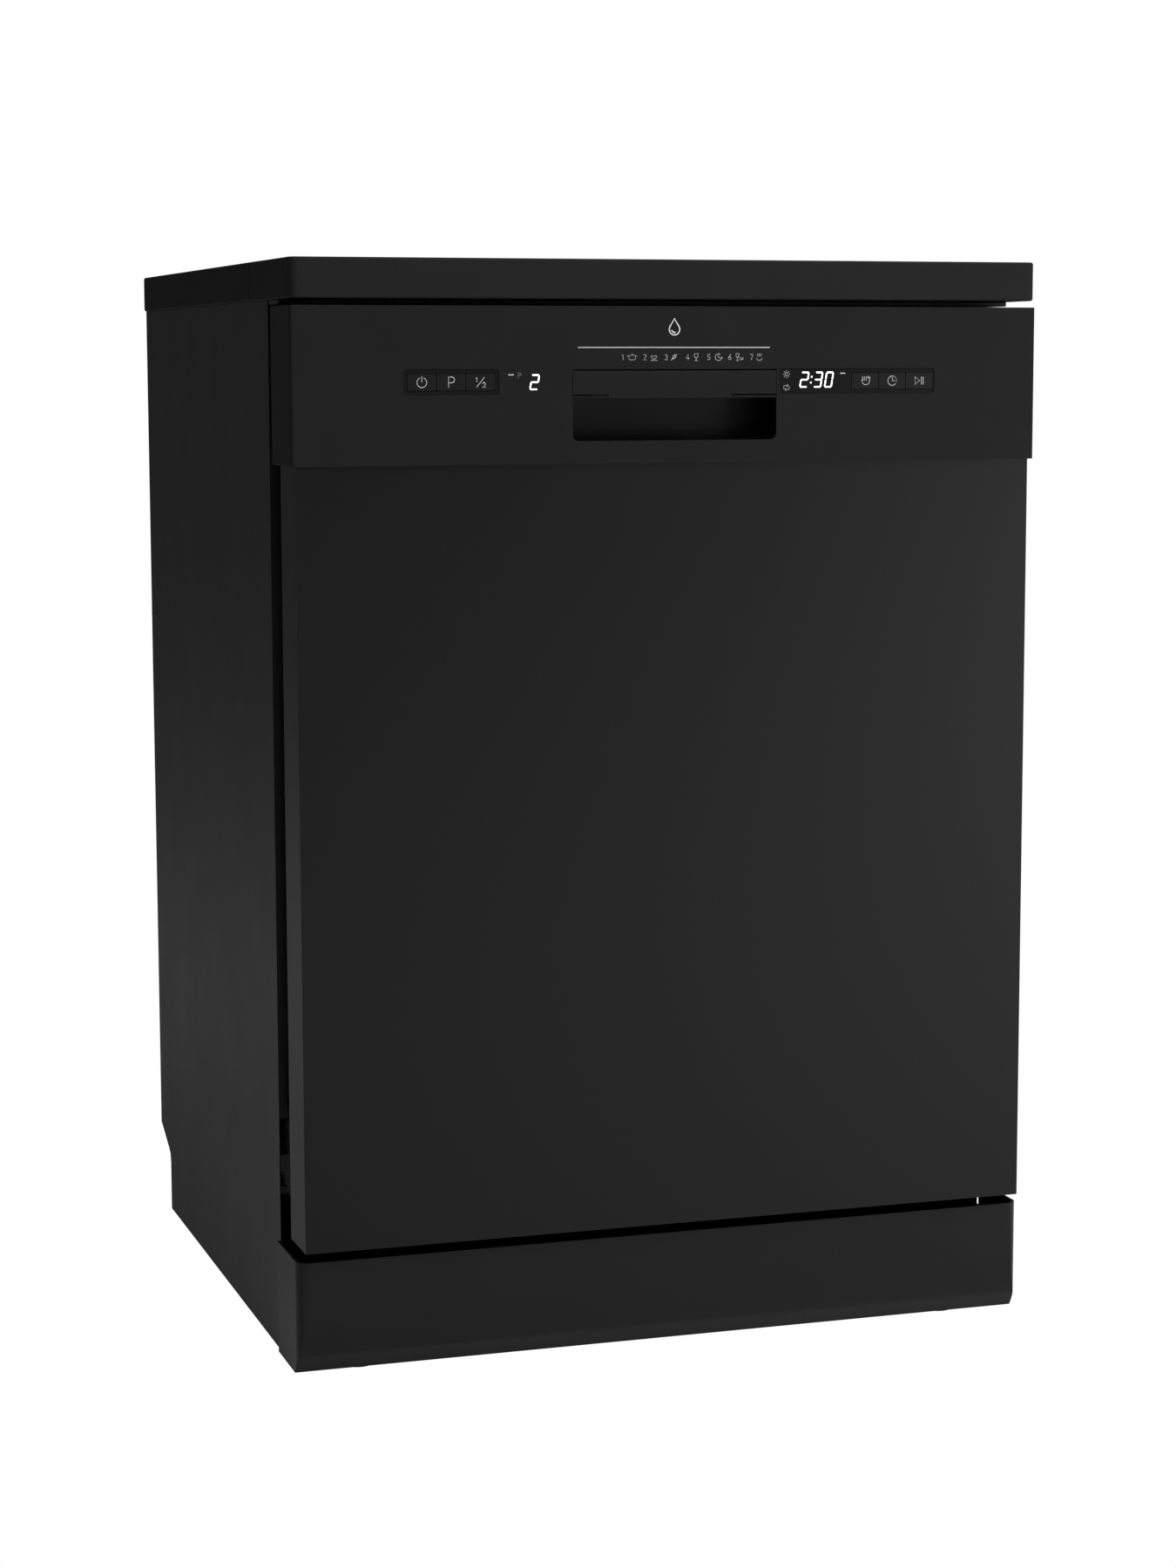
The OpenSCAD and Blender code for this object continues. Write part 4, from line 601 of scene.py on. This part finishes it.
# ---------------------------------------------------------------------------
# Balance springs: close coils of galvanised wire, low at each side of the
# cabinet, with a straight tie at each end; the front tie turns up to the hinge.
coil_r, coil_pitch, coil_steps, coil_wire_r = 5.7, 3.2, 12, 1.2
coil_front, coil_back, tie_lap = -104, 120, 4
spring_x, spring_z, tie_wire_r, tie_bend = 273, 112, 1.8, 4
tie_front, tie_back, hook_x, hook_z = -128, 246, 284, 158
coil_turns = int((coil_back - coil_front) / coil_pitch)
for side, name in ((-1, "left"), (1, "right")):
    x = side * spring_x
    coil = [(x + coil_r * math.cos(math.tau * i / coil_steps), coil_front + coil_pitch * i / coil_steps,
             spring_z + coil_r * math.sin(math.tau * i / coil_steps))
            for i in range(coil_turns * coil_steps + 1)]
    hook = [(x, tie_front, spring_z), (side * hook_x, tie_front, spring_z),
            (side * hook_x, tie_front, hook_z)]
    ties = [[(x, tie_front, spring_z), (x, coil_front + tie_lap, spring_z)],
            [(x, coil_back - tie_lap, spring_z), (x, tie_back, spring_z)], hook]
    stands_for = ["door_springs"] if name == "left" else []
    spring = joined(swept([coil], coil_wire_r, galvanised, sides=6),
                    swept(ties, tie_wire_r, galvanised, tie_bend))
    placed(spring, "balance_spring_" + name, "cabinet", galvanised, "zinc_steel", *stands_for)

# ---------------------------------------------------------------------------
# Front feet: a round moulded pad, a hexagon to turn it by and a threaded stem
# that screws up into the base tray.


def turned(profile, centre, steps=32):
    """A mesh of revolution round a vertical axis, from (radius, height) pairs in millimetres."""
    shape = bmesh.new()
    rings = [[shape.verts.new((r * math.cos(math.tau * i / steps), r * math.sin(math.tau * i / steps), h))
              for i in range(steps if r else 1)] for r, h in profile]
    for low, high in zip(rings, rings[1:]):
        for i in range(steps):
            corners = [low[i % len(low)], low[(i + 1) % len(low)],
                       high[(i + 1) % len(high)], high[i % len(high)]]
            shape.faces.new(list(dict.fromkeys(corners)))
    bmesh.ops.recalc_face_normals(shape, faces=shape.faces)
    shape.transform(Matrix.Scale(mm, 4) @ Matrix.Translation(centre))
    mesh = bpy.data.meshes.new("turned")
    shape.to_mesh(mesh)
    shape.free()
    mesh.shade_smooth()
    mesh.set_sharp_from_angle(angle=math.radians(40))
    return mesh


pad_profile = [(0, 0), (13, 0), (14, 1), (14, 2.4), (13.4, 3), (0, 3)]
nut_profile = [(0, 3), (11.6, 3), (12, 3.6), (12, 5.4), (11.2, 6), (0, 6)]
crest_r, root_r, half_pitch, thread_start = 4.9, 4.1, 0.85, 7
thread = [(crest_r if i % 2 else root_r, thread_start + half_pitch * i) for i in range(41)]
stem_profile = [(0, 6), (4.4, 6)] + thread + [(0, 41.6)]
foot_x, foot_y = 245, -252
for side, name in ((-1, "front_left_foot"), (1, "front_right_foot")):
    place = (side * foot_x, foot_y, 0)
    foot = joined(turned(pad_profile, place), turned(nut_profile, place, 6), turned(stem_profile, place, 24))
    placed(foot, name + "_turned", name, base_moulding, "base_plastic", name)

# ---------------------------------------------------------------------------
# Screws: galvanised pan heads with a dished driver recess, in the back sheet,
# through the top fixings and in the inner door's edges.
pan_head = [(0, 0.9), (0.9, 0.9), (1.5, 1.25), (2.2, 1.4), (3.0, 1.0), (3.4, 0.3), (3.4, 0)]


def screw_head(centre, facing):
    """One head at a place in millimetres, turned to face out of its sheet."""
    head = turned(pan_head, (0, 0, 0), steps=24)
    head.transform(facing)
    head.transform(Matrix.Translation(Vector(centre) * mm))
    return head


to_back, upward = Matrix.Rotation(-math.pi / 2, 4, "X"), Matrix.Identity(4)
back_face_y, liner_face_y, top_fixing_y, top_fixing_z = 296, -246, -228, 815.3
back_screws = [screw_head((x, back_face_y, z), to_back)
               for x in (-282.3, -90, 90, 282.3) for z in (110, 440, 806)]
top_screws = [screw_head((x, top_fixing_y, top_fixing_z), upward) for x in (-240, 240)]
door_screws = [screw_head((x, liner_face_y, z), to_back) for x in (-288, 288) for z in (270, 420, 570, 720)]
placed(joined(*back_screws, *top_screws), "cabinet_screw_heads", "cabinet", galvanised, "zinc_steel",
       "cabinet_screws")
placed(joined(*door_screws), "door_screw_heads", "door", galvanised, "zinc_steel", "door_screws")

# ---------------------------------------------------------------------------
# Spray arms: two moulded blades on a round hub, crowned along their
# length and round at the tips, with raised jets on either side of the middle.
hub_y, hub_r = 20, 15
blade_straight, tip_reach, blade_half_w, blade_waist = 197, 23, 22.8, 2.2
blade_mid_z, blade_crown, full_crown_w = 6, 4.9, 18
straight_steps, step_length, tip_steps, blade_sides = 37, 5, 8, 20


def blade(direction, z):
    """Half of a spray arm: crowned along its length, round at its tip."""
    shape = bmesh.new()
    stations = [hub_r + step_length * i for i in range(straight_steps)]
    stations += [blade_straight + tip_reach * math.sin(math.pi / 2 * i / tip_steps)
                 for i in range(1, tip_steps)]
    rings = []
    for x in stations:
        past = max(0.0, x - blade_straight) / tip_reach
        along = (x - hub_r) / (blade_straight - hub_r)
        half_w = blade_half_w - blade_waist * math.sin(math.pi * along)
        if past:
            half_w = blade_half_w * math.sqrt(1 - past * past)
        crown = blade_crown * min(1.0, (half_w / full_crown_w) ** 0.5)
        ring = []
        for i in range(blade_sides):
            c, s = math.cos(math.tau * i / blade_sides), math.sin(math.tau * i / blade_sides)
            across = half_w * math.copysign(abs(c) ** 0.7, c)
            rise = crown * math.copysign(abs(s) ** 0.6, s)
            ring.append(shape.verts.new((direction * x, hub_y + across, z + blade_mid_z + rise)))
        rings.append(ring)
    for low, high in zip(rings, rings[1:]):
        for i in range(blade_sides):
            following = (i + 1) % blade_sides
            shape.faces.new((low[i], low[following], high[following], high[i]))
    shape.faces.new(rings[0])
    shape.faces.new(rings[-1])
    bmesh.ops.recalc_face_normals(shape, faces=shape.faces)
    shape.transform(Matrix.Scale(mm, 4))
    mesh = bpy.data.meshes.new("blade")
    shape.to_mesh(mesh)
    shape.free()
    mesh.shade_smooth()
    return mesh


jet_profile = [(3.6, 9.6), (3.2, 11.4), (2.4, 11.9), (1.1, 11.9), (1.0, 10.6), (0, 10.6)]
hub_profile = [(9.2, 0.4), (20.5, 0.4), (21.8, 1.6), (21.8, 10.4), (20.5, 11.6), (9.2, 11.6), (9.2, 0.4)]
first_jet, jet_pitch, jet_side = 10, blade_straight / 4.4, 8
for name, arm_z in (("lower_spray_arm", 221.0), ("upper_spray_arm", 459.0)):
    hub = turned(hub_profile, (0, hub_y, arm_z), steps=48)
    jet_places = [(s * (i * jet_pitch + first_jet), hub_y + s * (jet_side if i % 2 == 0 else -jet_side))
                  for i in range(1, 5) for s in (-1, 1)]
    jets = [turned(jet_profile, (x, y, arm_z), steps=16) for x, y in jet_places]
    arm = joined(blade(1, arm_z), blade(-1, arm_z), hub, *jets)
    placed(arm, name + "_crowned", name, grey_moulding, "grey_plastic", name)

# ---------------------------------------------------------------------------
# Programme row and mark: pale ink printed on the panel, a number and a plain
# symbol for each programme over a thin rule, and one water drop in the middle.
pale_ink = finish("pale_ink", (0.3, 0.3, 0.3), gloss=0.5, mottle=80, depth=0.0)
bright_ink = finish("bright_ink", (0.5, 0.5, 0.5), gloss=0.4, mottle=80, depth=0.0)
panel_face_y, ink_relief = -300.0, 0.06


def arc(x, z, radius, start, end, count=16):
    """Points on an arc, with angles in degrees from the right."""
    return [(x + radius * math.cos(math.radians(start + (end - start) * i / count)),
             z + radius * math.sin(math.radians(start + (end - start) * i / count)))
            for i in range(count + 1)]


def printed(name, strokes, at, width, body, material, slot, y=panel_face_y):
    """Strokes of one width on a face that looks along -Y, in millimetres from the point at=(x, z)."""
    lines = [[(at[0] + px, y, at[1] + pz) for px, pz in stroke] for stroke in strokes]
    mesh = swept(lines, width / 2, material, sides=6)
    for vertex in mesh.vertices:
        vertex.co.y = y * mm + (vertex.co.y - y * mm) * ink_relief
    return placed(mesh, name, body, material, slot)


numerals = {
    "1": [[(-0.8, 1.2), (0.1, 2), (0.1, -2)]],
    "2": [arc(0, 1, 1, 160, -30, 8) + [(-1, -2), (1.1, -2)]],
    "3": [arc(0, 1, 0.95, 150, -80, 8) + arc(0, -1, 1.05, 80, -150, 8)],
    "4": [[(0.5, -2), (0.5, 2), (-1.1, -0.9), (1.2, -0.9)]],
    "5": [[(1, 2), (-0.8, 2), (-0.9, 0.1)] + arc(-0.1, -0.8, 1.15, 110, -150, 10)],
    "6": [[(0.8, 2)] + arc(0, -0.9, 1.05, 130, 490, 14)],
    "7": [[(-1, 2), (1.1, 2), (-0.3, -2)]],
}
pot = [[(-2.6, 1.3), (-2.6, -1.2), (-1.9, -2.0), (1.9, -2.0), (2.6, -1.2), (2.6, 1.3), (-2.6, 1.3)],
       [(-3.2, 0.8), (-3.8, 0.8)], [(3.2, 0.8), (3.8, 0.8)], [(-0.5, 2.3), (0.5, 2.3)]]
bowl = [arc(0, 0.9, 2.3, 180, 360, 10) + [(-2.3, 0.9)], [(-2.4, -2.4), (2.4, -2.4)]]
leaf = [arc(0.9, -1.4, 3.4, 90, 180, 8) + arc(-2.5, 2.0, 3.4, 270, 360, 8), [(-3.2, -2.2), (0.2, 1.2)]]
glass = [[(-1.5, 2.6), (-1.4, 0.9)] + arc(0, 0.8, 1.4, 180, 360, 8) + [(1.5, 2.6), (-1.5, 2.6)],
         [(0, -0.6), (0, -2.6)], [(-1.1, -2.6), (1.1, -2.6)]]
quick_clock = [arc(0, 0, 2.6, 60, 360, 18), [(0, 1.5), (0, 0), (1.1, -0.7)],
               [(2.0, -0.9), (2.6, 0.2), (3.4, -0.7)]]
glass_and_bowl = [[(-2.6, 2.6), (-2.5, 1.0)] + arc(-1.5, 0.9, 1.1, 180, 360, 8) + [(-0.3, 2.6), (-2.6, 2.6)],
                  [(-1.5, -0.2), (-1.5, -2.6)], [(-2.4, -2.6), (-0.6, -2.6)],
                  arc(1.7, -0.6, 1.5, 180, 360, 8) + [(0.2, -0.6)]]
spray = [arc(0, -0.2, 2.4, 200, 340, 8), [(-1.6, 2.4), (-1.2, 0.6)], [(0, 2.7), (0, 0.9)],
         [(1.6, 2.4), (1.2, 0.6)]]
drop = [[(0, 6.5)] + arc(0, -1.4, 4.2, 35, -215, 22) + [(0, 6.5)], arc(0, -1.4, 2.3, 200, 280, 6)]
programmes = {"1": (-42.1, -34.8, pot), "2": (-24.7, -17.4, bowl), "3": (-7.7, -0.3, leaf),
              "4": (9.5, 16.5, glass), "5": (26.7, 34.5, quick_clock), "6": (43.6, 51.4, glass_and_bowl),
              "7": (61.4, 67.8, spray)}
row_z, rule_z, drop_z, fine_line, rule_line = 776.7, 784, 799, 0.42, 0.9
for digit, (number_x, icon_x, icon) in programmes.items():
    printed("programme_number_" + digit, numerals[digit], (number_x, row_z), fine_line, "door", pale_ink,
            "black_plastic")
    printed("programme_icon_" + digit, icon, (icon_x, row_z), fine_line, "door", pale_ink, "black_plastic")
printed("printed_rule", [[(-77.4, 0), (76, 0)]], (0, rule_z), rule_line, "door", pale_ink, "black_plastic")
printed("water_drop_mark", drop, (-1, drop_z), 1.0, "door", bright_ink, "black_plastic")

# ---------------------------------------------------------------------------
# Keys' marks: one plain symbol printed on each key's face, which stands back
# a little from the panel's.
key_face_y, key_z, key_line = -299.8, 758.4, 0.6
power_ring = [arc(0, -0.2, 3.7, 62, -242, 24), [(0, 0.4), (0, 4.2)]]
letter_p = [[(-2.1, -3.8), (-2.1, 3.8), (0.4, 3.8)] + arc(0.4, 1.7, 2.1, 90, -90, 10) + [(-2.1, -0.4)]]
one_half = [[(-3.7, 2.6), (-2.7, 3.4), (-2.7, 0.4)], [(-2.9, -3.6), (2.9, 3.4)],
            arc(2.7, -1.4, 1.1, 160, -30, 8) + [(1.5, -3.8), (4, -3.8)]]
rising_heat = [[(x, 3.2), (x + 0.5, 2.2), (x - 0.1, 1.2), (x + 0.4, 0.2)] for x in (-2.4, -0.9, 0.6)]
dry_loop = [arc(0.4, 0.2, 3.2, 170, 400, 16), [(1.8, 2.0), (2.9, 3.6), (4.2, 2.2)]]
delay_clock = [arc(0, 0, 3.6, 75, 320, 20), [(0, 2.4), (0, 0), (2, 0)]]
second_ticks = [arc(0, 0, 3.6, 60 - 24 * i, 57 - 24 * i, 2) for i in range(4)]
play_pause = [[(-3.4, 2.8), (0.6, 0), (-3.4, -2.8), (-3.4, 2.8)], [(1.9, 2.8), (1.9, -2.8)],
              [(3.5, 2.8), (3.5, -2.8)]]
key_marks = {"power_key": (-199.15, power_ring), "program_key": (-176.55, letter_p),
             "half_load_key": (-153.95, one_half), "dry_key": (155.45, dry_loop + rising_heat),
             "delay_key": (178.05, delay_clock + second_ticks), "start_key": (200.65, play_pause)}
for key, (key_x, mark) in key_marks.items():
    printed(key + "_mark", mark, (key_x, key_z), key_line, key, pale_ink, "key_plastic", key_face_y)

# ---------------------------------------------------------------------------
# Lamps and display: small printed lamp symbols by the keys, and leaning digits
# of seven bars that glow through the smoked window.
dim_ink = finish("dim_ink", (0.1, 0.1, 0.1), gloss=0.5, mottle=80, depth=0.0)
digit_glow = finish("digit_glow", (0.8, 0.8, 0.8), gloss=0.5, mottle=80, depth=0.0)
digit_bsdf = digit_glow.node_tree.nodes["Principled BSDF"]
digit_bsdf.inputs["Emission Color"].default_value = (1, 1, 1, 1)
digit_bsdf.inputs["Emission Strength"].default_value = 2.2
window_face_y, lamp_x, lamp_line, dash_line = -299.4, 90.4, 0.4, 1.1
eighths = [math.tau * i / 8 for i in range(8)]
sun = [arc(0, 0, 1.3, 0, 360, 12)]
sun += [[(2.1 * math.cos(a), 2.1 * math.sin(a)), (2.9 * math.cos(a), 2.9 * math.sin(a))] for a in eighths]
cycle = [[(-2.2, -1.4), (-2.2, 1), (1.2, 1)], [(0.4, 1.9), (1.4, 1), (0.4, 0.1)],
         [(2.2, 0.4), (2.2, -2), (-1.2, -2)], [(-0.4, -1.1), (-1.4, -2), (-0.4, -2.9)]]
dash = [[(-1.7, 0), (1.7, 0)]]
small_p = [[(-0.9, -1.9), (-0.9, 1.9), (0.3, 1.9)] + arc(0.3, 0.9, 1, 90, -90, 6) + [(-0.9, -0.1)]]
printed("rinse_aid_lamp", sun, (lamp_x, 763.6), lamp_line, "door", pale_ink, "window", window_face_y)
printed("salt_lamp", cycle, (lamp_x, 754.0), lamp_line, "door", pale_ink, "window", window_face_y)
printed("program_lamp", dash, (-130.3, 763.7), dash_line, "door", pale_ink, "black_plastic")
printed("program_letter", small_p, (-123.8, 763.2), lamp_line, "door", dim_ink, "black_plastic")
printed("start_lamp", dash, (136.7, 764.2), 1.0, "door", pale_ink, "window", window_face_y)

bar_ends = {"a": ((0.12, 1), (0.88, 1)), "b": ((1, 0.92), (1, 0.58)), "c": ((1, 0.42), (1, 0.08)),
            "d": ((0.12, 0), (0.88, 0)), "e": ((0, 0.42), (0, 0.08)), "f": ((0, 0.92), (0, 0.58)),
            "g": ((0.12, 0.5), (0.88, 0.5))}
lit_bars = {"2": "abged", "3": "abgcd", "0": "abcdef"}
digit_lean, bar_line = 0.16, 1.15


def digit_strokes(digit, x, width, height):
    """The lit bars of a leaning digit whose lower left corner is x along its line."""
    return [[(x + px * width + pz * height * digit_lean, pz * height) for px, pz in bar_ends[bar]]
            for bar in lit_bars[digit]]


clock = digit_strokes("2", 0, 5.6, 11) + digit_strokes("3", 11.6, 5.4, 11) + digit_strokes("0", 20.4, 5.4, 11)
clock += [[(9.0, 3.2), (9.05, 3.4)], [(9.7, 7.6), (9.75, 7.8)]]
printed("lit_program_digit", digit_strokes("2", 0, 5.6, 10.6), (-115.5, 752.9), bar_line, "door", digit_glow,
        "window")
printed("lit_clock_digits", clock, (101.4, 753.9), bar_line, "door", digit_glow, "window", window_face_y)
